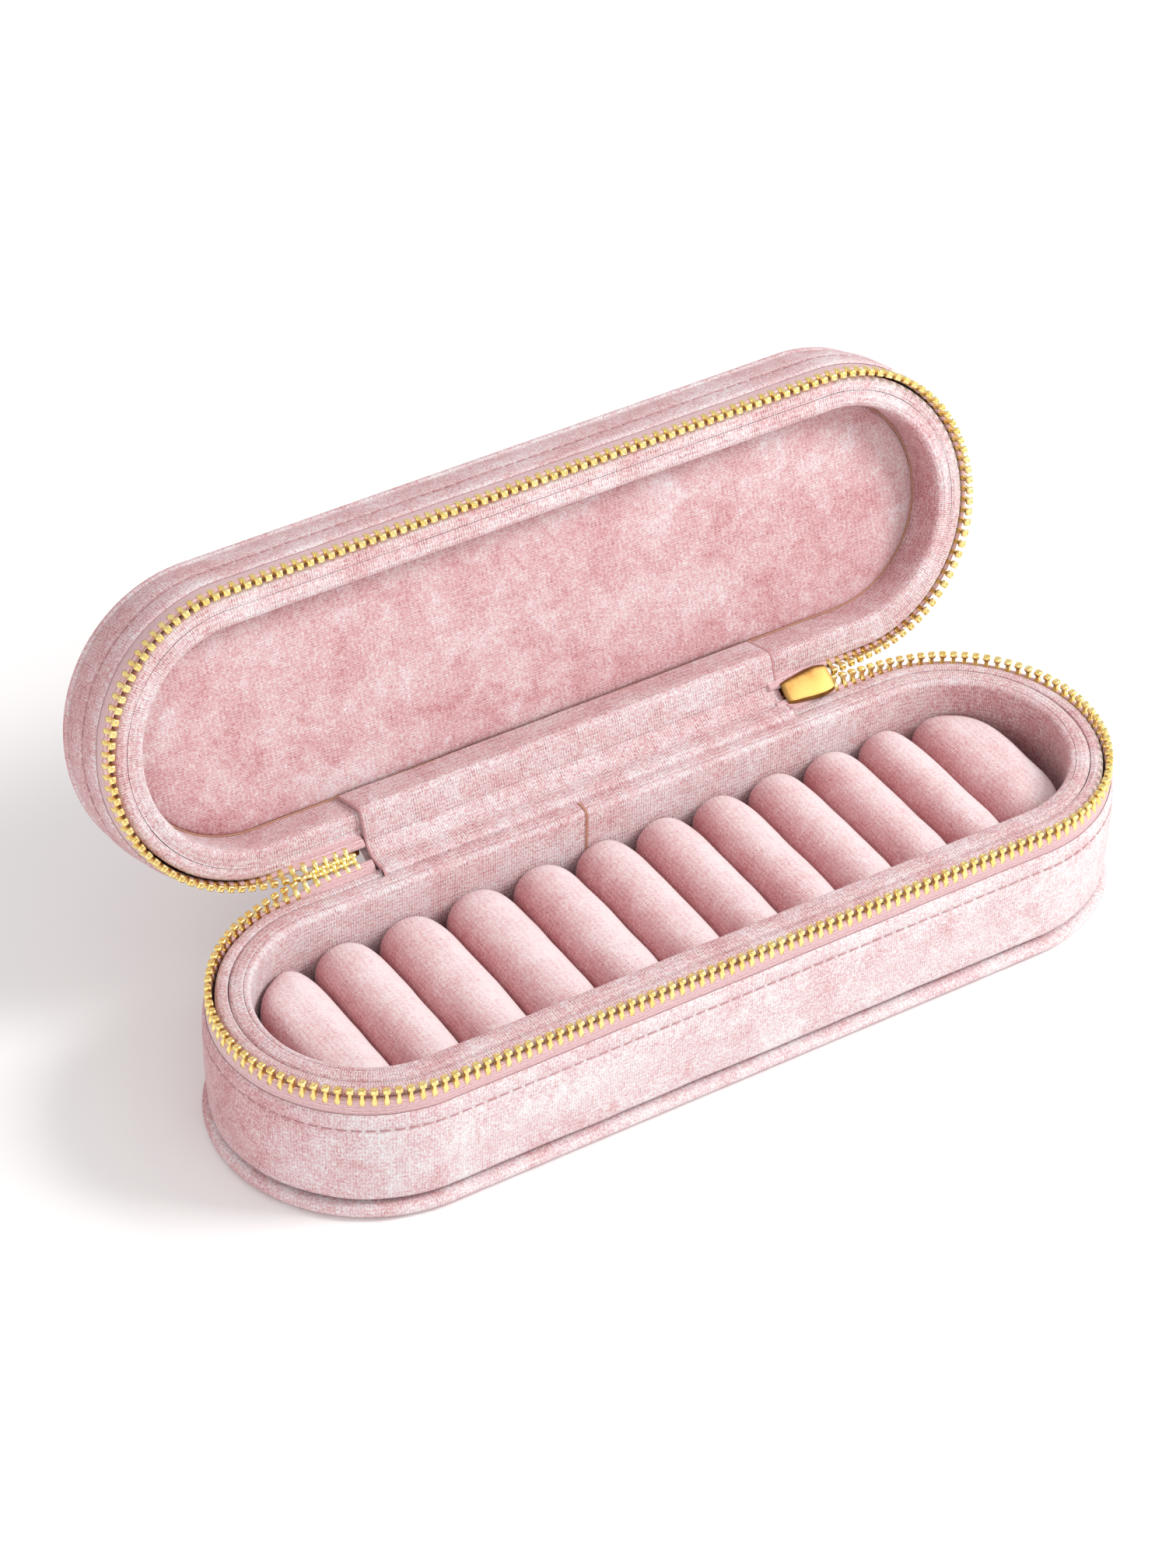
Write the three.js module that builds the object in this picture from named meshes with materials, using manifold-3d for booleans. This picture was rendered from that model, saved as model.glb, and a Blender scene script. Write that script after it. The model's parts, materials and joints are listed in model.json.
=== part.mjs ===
// A velvet travel ring box: a pill-shaped base and lid joined along the back by a soft
// hinge and closed by a zip, with twelve foam rolls that hold rings in the slots between them.
// Millimetres, +Z up, +Y to the back. The origin is the centre of the underside.
import * as THREE from "three";
import { mergeVertices } from "three/addons/utils/BufferGeometryUtils.js";
import Module from "manifold-3d";

const wasm = await Module();
wasm.setup();

// Driving dimensions.
const GAP = 0.3; // clearance between neighbouring pieces
const HALF_STRAIGHT = 75.6; // half the straight stretch between the round ends
const ARC_STEPS = 32; // steps in each full circle's half ends
const PARTING_Z = 34; // height at which the two zip chains meet
const TOP_Z = 56; // top of the closed lid
const OPEN_ANGLE = THREE.MathUtils.degToRad(107.5);
const HINGE_Y = 35.9;
const HINGE_Z = 33.6;

const BOARD_R = 35.8; // bottom board, which stands proud of the walls
const BOARD_H = 4.2;
const LID_BOARD_R = 34.4;
const LID_BOARD_H = 2.6;
const COVER_R = 34.7; // outer face of the velvet walls
const COVER_T = 0.7;
const COVER_TOP_Z = 27.5; // folded edge of the base's outer velvet
const LID_COVER_Z = 40.8; // folded edge of the lid's outer velvet
const TAPE_R = 33.7;
const TAPE_T = 0.6;
const TAPE_H = 12;
const TEETH_R = 34.6;
const TEETH_T = 2.4;
const TEETH_H = 3.55;
const SHELL_R = 31.9; // stiff rim inside the zip
const SHELL_INNER_R = 29.3;
const SHELL_TOP_Z = 33.4;
const LINER_R = 29;
const LINER_INNER_R = 24.3;
const LINER_TOP_Z = 33.9;
const LID_LINER_INNER_R = 25.2;
const LID_FLOOR_Z = 43.5; // visible floor of the lid's cavity
const LID_FLOOR_T = 1.2;
const LINER_SEAM_X = -6.2; // where the two ends of the liner strip meet

const CARD_T = 1.5;
const ROLL_TOP_Z = 27.2;
const ROLL_SPRING_Z = 19.4; // where the straight sides end and the round top starts
const ROLL_CRESTS = [-85.5, -69.6, -53.6, -36.2, -19.8, -4, 11.4, 26, 41, 55.9, 70.8, 84.2];
const ROLL_END_X = 93.4; // outer sides of the two end rolls
const ROLL_ARC_STEPS = 12;

const CLOTH_T = 0.7;
const FLAP_X = [-54.5, 52.5];
const FLAP_Y = 28.85; // pocket between the rim and the liner, where the flap is tucked
const FLAP_LOW_Z = 14;
const CHAIN_START_X = 64.5; // first tooth, on the back beside the slider
const CHAIN_END_X = -58; // last tooth, on the back at the other end of the hinge
const SPINE_X = [-55, 49];

const SLIDER_X = 58; // middle of the slider with the box open
const SLIDER_L = 13;
const WING_T = 0.7;
const WING_IN_Y = -4.6; // inner plate, measured from the hinge line
const WING_OUT_Y = 1.9;
const NOTCH_X = [50.5, 73.5]; // recess in the rims that lets the inner plate pass
const NOTCH_Y = 29.9;
const NOTCH_DEPTH = 4.3;
const BAR_Y = 5; // underside of the bridge's bar
const TAB_PIVOT_Y = 4.05; // the tab's end, held between the bar and the outer plate
const TAB_L = 25;
const TAB_T = 1;

const velvet = new THREE.MeshStandardMaterial({ color: 0xe2b3ba, roughness: 0.95 });
const tapeCloth = new THREE.MeshStandardMaterial({ color: 0xdba9b1, roughness: 0.8 });
const gold = new THREE.MeshStandardMaterial({ color: 0xdfb95e, roughness: 0.3, metalness: 1 });
const board = new THREE.MeshStandardMaterial({ color: 0xd6a4ac, roughness: 0.9 });
const foam = new THREE.MeshStandardMaterial({ color: 0xd9cfc4, roughness: 1 });

// Booleans on three.js geometries.
function toSolid(geometry) {
  const bare = new THREE.BufferGeometry();
  const source = geometry.index ? geometry.toNonIndexed() : geometry;
  bare.setAttribute("position", source.getAttribute("position"));
  const merged = mergeVertices(bare, 1e-4);
  return new wasm.Manifold(
    new wasm.Mesh({
      numProp: 3,
      vertProperties: merged.attributes.position.array,
      triVerts: new Uint32Array(merged.index.array),
    }),
  );
}

function toGeometry(solid) {
  const mesh = solid.getMesh();
  const geometry = new THREE.BufferGeometry();
  geometry.setAttribute("position", new THREE.BufferAttribute(mesh.vertProperties, 3));
  geometry.setIndex(new THREE.BufferAttribute(mesh.triVerts, 1));
  geometry.computeVertexNormals();
  return geometry;
}

function cut(geometry, ...tools) {
  return toGeometry(tools.reduce((left, tool) => left.subtract(toSolid(tool)), toSolid(geometry)));
}

function join(first, ...others) {
  return toGeometry(others.reduce((all, other) => all.add(toSolid(other)), toSolid(first)));
}

function overlapOf(first, second) {
  return toGeometry(toSolid(first).intersect(toSolid(second)));
}

// A box between two corners.
function block([x0, x1], [y0, y1], [z0, z1]) {
  const box = new THREE.BoxGeometry(x1 - x0, y1 - y0, z1 - z0);
  return box.translate((x0 + x1) / 2, (y0 + y1) / 2, (z0 + z1) / 2);
}

// The pill outline of a given end radius.
function pill(radius, path = new THREE.Shape()) {
  path.moveTo(-HALF_STRAIGHT, -radius);
  path.lineTo(HALF_STRAIGHT, -radius);
  path.absarc(HALF_STRAIGHT, 0, radius, -Math.PI / 2, Math.PI / 2, false);
  path.lineTo(-HALF_STRAIGHT, radius);
  path.absarc(-HALF_STRAIGHT, 0, radius, Math.PI / 2, 1.5 * Math.PI, false);
  return path;
}

function extrude(shape, z0, z1) {
  const options = { depth: z1 - z0, bevelEnabled: false, curveSegments: ARC_STEPS / 2 };
  return new THREE.ExtrudeGeometry(shape, options).translate(0, 0, z0);
}

function plate(radius, z0, z1) {
  return extrude(pill(radius), z0, z1);
}

function band(outer, inner, z0, z1) {
  const shape = pill(outer);
  shape.holes.push(pill(inner, new THREE.Path()));
  return extrude(shape, z0, z1);
}

// A sheet of even thickness that follows a curve in the YZ plane and runs along X.
function ribbon(points, thickness, [x0, x1], steps) {
  const curve = new THREE.CatmullRomCurve3(points.map(([y, z]) => new THREE.Vector3(y, z, 0)));
  const outline = [-1, 1].map((side) =>
    Array.from({ length: steps + 1 }, (_, i) => {
      const along = curve.getTangentAt(i / steps);
      const normal = new THREE.Vector3(-along.y, along.x, 0).setLength((side * thickness) / 2);
      return curve.getPointAt(i / steps).add(normal);
    }),
  );
  const shape = new THREE.Shape([...outline[0], ...outline[1].reverse()].map((p) => new THREE.Vector2(p.x, p.y)));
  const sheet = new THREE.ExtrudeGeometry(shape, { depth: x1 - x0, bevelEnabled: false });
  const axes = new THREE.Matrix4().makeBasis(
    new THREE.Vector3(0, 1, 0),
    new THREE.Vector3(0, 0, 1),
    new THREE.Vector3(1, 0, 0),
  );
  return sheet.applyMatrix4(axes).translate(x0, 0, 0);
}

// Height in the closed lid that mirrors a height in the base.
const mirrored = (z) => 2 * PARTING_Z - z;

// Where a point of the closed lid, in the YZ plane, comes to with the lid open.
function opened([y, z]) {
  const [dy, dz] = [y - HINGE_Y, z - HINGE_Z];
  const [c, s] = [Math.cos(OPEN_ANGLE), Math.sin(OPEN_ANGLE)];
  return [HINGE_Y + dy * c + dz * s, HINGE_Z - dy * s + dz * c];
}

function named(name, geometry, material) {
  const mesh = new THREE.Mesh(geometry, material);
  mesh.name = name;
  return mesh;
}

// The hinge side of a strip, between two places along the back.
const backBlock = (span, zSpan) => block(span, [LINER_INNER_R, BOARD_R], zSpan);

function notch(zSpan) {
  return block(NOTCH_X, [NOTCH_Y, BOARD_R], zSpan);
}

// The slot that takes the tucked edge of the hinge flap.
function flapPocket(zSpan) {
  return block([FLAP_X[0] - 1, FLAP_X[1] + 1], [FLAP_Y - 0.65, FLAP_Y + 0.65], zSpan);
}

// Base ----------------------------------------------------------------------------------

function baseShell() {
  return cut(
    band(SHELL_R, SHELL_INNER_R, BOARD_H + GAP, SHELL_TOP_Z),
    notch([PARTING_Z - NOTCH_DEPTH, PARTING_Z]),
    flapPocket([FLAP_LOW_Z - 0.4, PARTING_Z]),
  );
}

function baseLiner() {
  return cut(
    band(LINER_R, LINER_INNER_R, BOARD_H + GAP, LINER_TOP_Z),
    backBlock([LINER_SEAM_X - GAP / 2, LINER_SEAM_X + GAP / 2], [0, PARTING_Z]),
    flapPocket([FLAP_LOW_Z - 0.4, PARTING_Z]),
  );
}

// One foam roll: straight sides, a round top, and ends that follow the liner.
function roll(x0, x1, crest) {
  const low = BOARD_H + CARD_T + 2 * GAP;
  const section = new THREE.Shape();
  section.moveTo(x0, low);
  section.lineTo(x1, low);
  section.lineTo(x1, ROLL_SPRING_Z);
  const rise = ROLL_TOP_Z - ROLL_SPRING_Z;
  section.absellipse(crest, ROLL_SPRING_Z, x1 - crest, rise, 0, Math.PI / 2, false);
  section.absellipse(crest, ROLL_SPRING_Z, crest - x0, rise, Math.PI / 2, Math.PI, false);
  const options = { depth: 2 * LINER_R, bevelEnabled: false, curveSegments: ROLL_ARC_STEPS / 2 };
  const bar = new THREE.ExtrudeGeometry(section, options);
  bar.rotateX(Math.PI / 2).translate(0, LINER_R, 0);
  return overlapOf(bar, plate(LINER_INNER_R - GAP, 0, PARTING_Z));
}

function rolls() {
  return ROLL_CRESTS.map((crest, i) => {
    const before = i ? (ROLL_CRESTS[i - 1] + crest) / 2 : -ROLL_END_X;
    const after = i < ROLL_CRESTS.length - 1 ? (ROLL_CRESTS[i + 1] + crest) / 2 : ROLL_END_X;
    const name = "ring_roll_" + String(i + 1).padStart(2, "0");
    return named(name, roll(before + GAP / 2, after - GAP / 2, crest), velvet);
  });
}

function base() {
  const group = new THREE.Group();
  const tapeTop = PARTING_Z - TEETH_H - 2 * GAP;
  const hingeStretch = [SPINE_X[0] - GAP, SPINE_X[1] + GAP];
  const noTeeth = [CHAIN_END_X, CHAIN_START_X];
  const tape = band(TAPE_R, TAPE_R - TAPE_T, tapeTop - TAPE_H, tapeTop);
  const teethZ = [PARTING_Z - GAP / 2 - TEETH_H, PARTING_Z - GAP / 2];
  const teeth = band(TEETH_R, TEETH_R - TEETH_T, ...teethZ);
  group.add(
    named("base_bottom_board", plate(BOARD_R, 0, BOARD_H), board),
    named("base_wall_cover", band(COVER_R, COVER_R - COVER_T, BOARD_H + GAP, COVER_TOP_Z), velvet),
    named("base_zip_tape", cut(tape, backBlock(hingeStretch, [0, PARTING_Z])), tapeCloth),
    named("base_zip_teeth", cut(teeth, backBlock(noTeeth, [0, PARTING_Z])), gold),
    named("base_inner_shell", baseShell(), velvet),
    named("base_liner_wall", baseLiner(), velvet),
    named("ring_pad_card", plate(LINER_INNER_R - GAP, BOARD_H + GAP, BOARD_H + GAP + CARD_T), board),
    named("zip_top_stop_base", topStop(teethZ), gold),
    ...rolls(),
  );
  return group;
}

// Lid, in the place it has when the box is closed ----------------------------------------

function lidLiner(floorTop) {
  return band(LINER_R, LID_LINER_INNER_R, mirrored(LINER_TOP_Z) + GAP / 2, floorTop);
}

function lidShell(top) {
  return cut(
    band(SHELL_R, SHELL_INNER_R, mirrored(SHELL_TOP_Z), top),
    notch([PARTING_Z, PARTING_Z + NOTCH_DEPTH]),
  );
}

function lid() {
  const group = new THREE.Group();
  const boardLow = TOP_Z - LID_BOARD_H;
  const top = boardLow - GAP;
  const tapeLow = mirrored(PARTING_Z - TEETH_H - 2 * GAP);
  const teethZ = [PARTING_Z + GAP / 2, PARTING_Z + GAP / 2 + TEETH_H];
  const hingeStretch = [SPINE_X[0] - GAP, SPINE_X[1] + GAP];
  const tape = band(TAPE_R, TAPE_R - TAPE_T, tapeLow, tapeLow + TAPE_H);
  const teeth = band(TEETH_R, TEETH_R - TEETH_T, ...teethZ);
  const padR = LID_LINER_INNER_R - GAP;
  const floorZ = LID_FLOOR_Z + LID_FLOOR_T;
  group.add(
    named("lid_top_board", plate(LID_BOARD_R, boardLow, TOP_Z), velvet),
    named("lid_wall_cover", band(COVER_R, COVER_R - COVER_T, LID_COVER_Z, top), velvet),
    named("lid_zip_tape", cut(tape, backBlock(hingeStretch, [0, TOP_Z])), tapeCloth),
    named("lid_zip_teeth", cut(teeth, backBlock([CHAIN_END_X, CHAIN_START_X], [0, TOP_Z])), gold),
    named("lid_inner_shell", lidShell(top), velvet),
    named("lid_liner_wall", lidLiner(top), velvet),
    named("lid_floor_panel", plate(padR, LID_FLOOR_Z, floorZ), velvet),
    named("lid_foam_pad", plate(padR, floorZ + GAP, top), foam),
    named("zip_top_stop_lid", topStop(teethZ), gold),
  );
  return group;
}

// Zip hardware -----------------------------------------------------------------------------

// A small clip past the last tooth of a chain.
function topStop([z0, z1]) {
  const x1 = CHAIN_END_X + GAP + 1.9;
  return block([CHAIN_END_X + GAP, x1], [TEETH_R - TEETH_T + 0.2, TEETH_R], [z0 + 0.5, z1]);
}

// The slider and its parts are placed about the hinge line, with Y out through the wall.
function sliderPlate(y0, halfNose, halfTail) {
  const outline = new THREE.Shape();
  const nose = SLIDER_L / 2;
  outline.moveTo(-nose, -halfTail);
  outline.lineTo(-1, -halfTail - 0.3);
  outline.lineTo(nose - 2, -halfNose);
  outline.quadraticCurveTo(nose, -halfNose + 0.4, nose, -halfNose + 2);
  outline.lineTo(nose, halfNose - 2);
  outline.quadraticCurveTo(nose, halfNose - 0.4, nose - 2, halfNose);
  outline.lineTo(-1, halfTail + 0.3);
  outline.lineTo(-nose, halfTail);
  const options = { depth: WING_T, bevelEnabled: false, curveSegments: 4 };
  const sheet = new THREE.ExtrudeGeometry(outline, options);
  return sheet.rotateX(Math.PI / 2).translate(0, y0 + WING_T, 0);
}

function sliderBody() {
  const post = new THREE.CylinderGeometry(1, 1, WING_OUT_Y - WING_IN_Y, 12).scale(1.5, 1, 0.8);
  post.translate(-3.5, (WING_OUT_Y + WING_IN_Y + WING_T) / 2, 0);
  return join(sliderPlate(WING_IN_Y, 3.4, 2.6), sliderPlate(WING_OUT_Y, 2.7, 2.3), post);
}

// The arch on the outer plate, whose bar along X keeps the tab's end under it.
function sliderBail() {
  const low = WING_OUT_Y + WING_T + GAP;
  const arch = new THREE.Shape();
  arch.moveTo(-3.6, low);
  arch.lineTo(-2.6, low);
  arch.lineTo(-2.6, BAR_Y);
  arch.lineTo(2.6, BAR_Y);
  arch.lineTo(2.6, low);
  arch.lineTo(3.6, low);
  arch.lineTo(3.6, BAR_Y + 0.3);
  arch.lineTo(2.8, BAR_Y + 1);
  arch.lineTo(-2.8, BAR_Y + 1);
  arch.lineTo(-3.6, BAR_Y + 0.3);
  const options = { depth: 1.4, bevelEnabled: false };
  return new THREE.ExtrudeGeometry(arch, options).translate(0, 0, -0.7);
}

// A flat drop-shaped tab with a long eye, hanging straight out from the slider.
function pullTab() {
  const outline = new THREE.Shape();
  const [top, tip] = [-0.55, TAB_L];
  outline.moveTo(-1.4, top);
  outline.lineTo(1.4, top);
  outline.quadraticCurveTo(2.5, top, 2.6, top + 1.2);
  outline.lineTo(3.3, tip - 3.3);
  outline.absarc(0, tip - 3.3, 3.3, 0, Math.PI, false);
  outline.lineTo(-2.6, top + 1.2);
  outline.quadraticCurveTo(-2.5, top, -1.4, top);
  const eye = new THREE.Path();
  eye.moveTo(-1.2, -top);
  eye.lineTo(-1.2, 5.6);
  eye.lineTo(1.2, 5.6);
  eye.lineTo(1.2, -top);
  outline.holes.push(eye);
  const tab = new THREE.ExtrudeGeometry(outline, { depth: TAB_T, bevelEnabled: false, curveSegments: 8 });
  tab.translate(0, 0, -TAB_T / 2).rotateY(Math.PI / 2);
  return tab.translate(0, TAB_PIVOT_Y, 0);
}

// The stop that joins both chains, in the middle of the hinge's thickness.
function bottomStop() {
  return block([-12.5, -9.5], [-1.25, -0.4], [-1.1, 1.1]);
}

function zipEnd() {
  const group = new THREE.Group();
  group.position.set(SLIDER_X, HINGE_Y, HINGE_Z);
  group.rotation.x = -OPEN_ANGLE / 2;
  group.add(
    named("zip_bottom_stop", bottomStop(), gold),
    named("zip_slider_body", sliderBody(), gold),
    named("zip_slider_bridge", sliderBail(), gold),
    named("zip_pull_tab", pullTab(), gold),
  );
  return group;
}

// Soft hinge ---------------------------------------------------------------------------------

// The lining's flap: out of the pocket behind the liner, over the base's rim, across the
// hinge, over the lid's rim and down the lid's inner wall to its floor.
function hingeFlap() {
  const off = GAP + CLOTH_T / 2;
  const wallY = LID_LINER_INNER_R - off;
  const rimZ = mirrored(LINER_TOP_Z) - off;
  const path = [
    [FLAP_Y, FLAP_LOW_Z],
    [FLAP_Y, 24],
    [FLAP_Y, SHELL_TOP_Z - 0.8],
    [FLAP_Y + 0.1, SHELL_TOP_Z + 0.35],
    [FLAP_Y + 0.85, SHELL_TOP_Z + 1],
    [FLAP_Y + 2.5, SHELL_TOP_Z + 1.1],
    [SHELL_R + 1.6, SHELL_TOP_Z + 1.1],
    [HINGE_Y - 0.6, SHELL_TOP_Z + 2.1],
    opened([SHELL_R + 0.4, rimZ + 0.2]),
    opened([LINER_R + 2, rimZ]),
    opened([wallY + 2, rimZ]),
    opened([wallY + 0.5, rimZ + 0.3]),
    opened([wallY, rimZ + 1.6]),
    opened([wallY, LID_FLOOR_Z - 4]),
    opened([wallY, LID_FLOOR_Z - off]),
  ];
  return ribbon(path, CLOTH_T, FLAP_X, 44);
}

// The strip that ties the two halves together behind the flap, in the layer of the zip tape.
function hingeSpine() {
  const layer = TAPE_R - TAPE_T / 2;
  const half = [
    [layer, 17.5],
    [layer, 23],
    [layer, 29.4],
    [34.3, 31.7],
    [35.5, 33],
  ];
  const lidHalf = half.map(([y, z]) => opened([y, 2 * HINGE_Z - z])).reverse();
  return ribbon([...half, ...lidHalf], TAPE_T, SPINE_X, 30);
}

// Assembly -------------------------------------------------------------------------------------

const openLid = new THREE.Group();
openLid.position.set(0, HINGE_Y, HINGE_Z);
openLid.rotation.x = -OPEN_ANGLE;
const closedLid = lid();
closedLid.position.set(0, -HINGE_Y, -HINGE_Z);
openLid.add(closedLid);

const group = new THREE.Group();
group.add(
  base(),
  openLid,
  zipEnd(),
  named("hinge_flap", hingeFlap(), velvet),
  named("hinge_spine", hingeSpine(), velvet),
);

export default group;
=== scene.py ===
"""A velvet travel ring box, open: pill-shaped base and lid, foam ring rolls, metal zip and soft hinge."""

import json
import logging
import math
from dataclasses import dataclass
from enum import Enum
from itertools import pairwise
from typing import Callable, Iterable, Sequence

import bpy
from mathutils import Matrix, Vector, noise


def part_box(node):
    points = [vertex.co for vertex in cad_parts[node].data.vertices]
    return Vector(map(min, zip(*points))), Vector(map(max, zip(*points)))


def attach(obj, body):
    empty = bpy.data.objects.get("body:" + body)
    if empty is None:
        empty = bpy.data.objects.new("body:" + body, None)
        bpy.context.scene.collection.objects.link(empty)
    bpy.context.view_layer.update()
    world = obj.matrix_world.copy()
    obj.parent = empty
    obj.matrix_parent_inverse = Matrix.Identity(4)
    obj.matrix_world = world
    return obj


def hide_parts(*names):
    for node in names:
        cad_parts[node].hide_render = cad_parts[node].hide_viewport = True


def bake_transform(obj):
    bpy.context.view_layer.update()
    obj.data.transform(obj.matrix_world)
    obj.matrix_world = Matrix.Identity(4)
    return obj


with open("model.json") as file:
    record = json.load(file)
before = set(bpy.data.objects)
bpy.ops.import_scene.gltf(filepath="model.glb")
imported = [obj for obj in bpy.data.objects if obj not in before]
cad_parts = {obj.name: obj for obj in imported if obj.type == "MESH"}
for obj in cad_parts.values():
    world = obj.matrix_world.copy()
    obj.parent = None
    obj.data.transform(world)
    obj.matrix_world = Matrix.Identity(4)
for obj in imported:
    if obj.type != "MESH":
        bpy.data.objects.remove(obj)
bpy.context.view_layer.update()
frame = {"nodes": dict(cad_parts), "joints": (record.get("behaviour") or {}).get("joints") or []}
LOG = logging.getLogger("ring_box")

MM = 0.001
ROUND_STEPS = 96  # steps round the two ends of a pill
CUT_STEP = 4 * MM  # spacing of the cuts across a pill's straight stretches

Color = tuple[float, float, float]
Section = Sequence[tuple[float, float]]
Piece = bpy.types.Object
Window = tuple[tuple[float, float], float]
UNIT = Vector((1, 1, 1))


class Ends(Enum):
    """How a turned section is finished."""

    RING = "the section closes on itself"
    SOLID = "flat faces close the first and last loops"


class Half(Enum):
    """The two halves of the box, named as their bodies are."""

    BASE = "base"
    LID = "lid"


# Places taken from the frame ------------------------------------------------------------


def joint_of(name: str) -> dict:
    """Returns the frame's joint of that name."""
    return next(j for j in frame["joints"] if j["name"] == name)


def straight_half(node: str) -> float:
    """Half the straight stretch of a pill-shaped node lying flat, in metres."""
    low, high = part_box(node)
    return (high[0] - low[0]) / 2 - (high[1] - low[1]) / 2


CHAIN_GAP = 0.15 * MM  # from the base's chain to the plane where the halves part
HALF = straight_half("base_wall_cover")
PARTING_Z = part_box("base_zip_teeth")[1][2] + CHAIN_GAP
HINGE = joint_of("lid_hinge")
OPEN_ANGLE = math.radians(HINGE["range_deg"][1])
HINGE_AT = Vector(HINGE["pos_m"])
OPENING = (
    Matrix.Translation(HINGE_AT)
    @ Matrix.Rotation(-OPEN_ANGLE, 4, "X")
    @ Matrix.Translation(-HINGE_AT)
)
HALF_OPENING = Matrix.Translation(HINGE_AT) @ Matrix.Rotation(-OPEN_ANGLE / 2, 4, "X")


def opened(y: float, z: float) -> tuple[float, float]:
    """Where a point of the closed lid, in the YZ plane, comes to in the open one."""
    point = OPENING @ Vector((0, y, z))
    return point.y, point.z


# Modelling ------------------------------------------------------------------------------


def clear_selection() -> None:
    """Goes to object mode with nothing selected."""
    if bpy.context.object is not None and bpy.context.object.mode != "OBJECT":
        bpy.ops.object.mode_set(mode="OBJECT")
    bpy.ops.object.select_all(action="DESELECT")


def select_only(obj: Piece) -> None:
    """Selects one object and makes it active.

    Args:
        obj: the object.
    """
    clear_selection()
    obj.select_set(True)
    bpy.context.view_layer.objects.active = obj


def started(name: str) -> Piece:
    """Names the primitive just added and applies its place.

    Args:
        name: the piece's name.

    Returns:
        The piece, in object mode.
    """
    obj = bpy.context.object
    obj.name = obj.data.name = name
    bpy.ops.object.transform_apply(location=True, rotation=True, scale=True)
    return obj


def all_picked() -> None:
    """Goes to edit mode with the whole mesh selected."""
    bpy.ops.object.mode_set(mode="EDIT")
    bpy.ops.mesh.select_all(action="SELECT")


def pick_open(mode: str = "VERT") -> None:
    """Selects the open borders of the mesh in edit mode.

    Args:
        mode: VERT or EDGE, what is selected.
    """
    bpy.ops.mesh.select_mode(type=mode)
    bpy.ops.mesh.select_all(action="DESELECT")
    bpy.ops.mesh.select_non_manifold()


def sliced(places: Iterable[float], axis: tuple[int, int, int] = (1, 0, 0)) -> None:
    """Cuts the mesh in edit mode across, at each place along an axis.

    Args:
        places: distances along the axis, in metres.
        axis: the direction across the cuts.
    """
    for place in places:
        bpy.ops.mesh.select_all(action="SELECT")
        bpy.ops.mesh.bisect(plane_co=Vector(axis) * place, plane_no=axis)


def block(name: str, cuts: int, low: Vector = -UNIT, high: Vector = UNIT) -> Piece:
    """Makes a box between two corners, every edge divided by a number of cuts.

    Args:
        name: the piece's name.
        cuts: how many cuts.
        low: the lowest corner, in metres.
        high: the highest corner.

    Returns:
        The box, in object mode.
    """
    clear_selection()
    bpy.ops.mesh.primitive_cube_add(size=1, location=(low + high) / 2, scale=high - low)
    obj = started(name)
    if cuts:
        all_picked()
        bpy.ops.mesh.subdivide(number_cuts=cuts)
        bpy.ops.object.mode_set(mode="OBJECT")
    return obj


def pick(obj: Piece, wanted: Callable[[Vector], bool], mode: str = "VERT") -> None:
    """Selects the vertices, or the faces by their middles, that a test picks.

    Args:
        obj: the object, which is left in edit mode.
        wanted: a test on a point in metres.
        mode: VERT or FACE.
    """
    bpy.ops.object.mode_set(mode="EDIT")
    bpy.ops.mesh.select_mode(type=mode)
    bpy.ops.mesh.select_all(action="DESELECT")
    bpy.ops.object.mode_set(mode="OBJECT")
    if mode == "VERT":
        for v in obj.data.vertices:
            v.select = wanted(v.co)
    else:
        for p in obj.data.polygons:
            p.select = wanted(p.center)
    bpy.ops.object.mode_set(mode="EDIT")


def turned_pill(name: str, section: Section, ends: Ends = Ends.RING, half: float = HALF) -> Piece:
    """Turns a section as a round, then pulls its two halves apart into a pill.

    Args:
        name: the piece's name.
        section: (radius, height) points in millimetres.
        ends: how the turned surface is closed.
        half: half the straight stretch, in metres.

    Returns:
        The piece, in object mode.
    """
    clear_selection()
    points = [(r * MM, z * MM) for r, z in section]
    bpy.ops.mesh.primitive_circle_add(
        vertices=ROUND_STEPS, radius=points[0][0], location=(0, 0, points[0][1]),
        rotation=(0, 0, math.pi / ROUND_STEPS),
    )
    obj = started(name)
    bpy.ops.object.mode_set(mode="EDIT")
    bpy.ops.mesh.select_mode(type="VERT")
    bpy.ops.mesh.select_all(action="SELECT")
    for (r0, z0), (r1, z1) in pairwise(points):
        bpy.ops.mesh.extrude_edges_move(TRANSFORM_OT_translate={"value": (0, 0, z1 - z0)})
        bpy.ops.transform.resize(value=(r1 / r0, r1 / r0, 1), center_override=(0, 0, z1))
    pick_open()
    if ends is Ends.RING:
        bpy.ops.mesh.bridge_edge_loops()
    else:
        bpy.ops.mesh.fill_holes(sides=0)
    for side in (1, -1):
        pick(obj, lambda co: co.x * side > 0)
        bpy.ops.transform.translate(value=(side * half, 0, 0))
    cuts = round(2 * half / CUT_STEP)
    sliced(-half + 2 * half * i / cuts for i in range(1, cuts))
    face_outwards(obj)
    return obj


def face_outwards(obj: Piece) -> None:
    """Turns all of a closed piece's faces outwards and goes back to object mode.

    Args:
        obj: the piece.
    """
    all_picked()
    bpy.ops.mesh.normals_make_consistent(inside=False)
    bpy.ops.object.mode_set(mode="OBJECT")


def uv_map(obj: Piece) -> bpy.types.MeshUVLoopLayer:
    """Returns the piece's UV map, made if it has none."""
    return obj.data.uv_layers.get("UVMap") or obj.data.uv_layers.new(name="UVMap")


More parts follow.
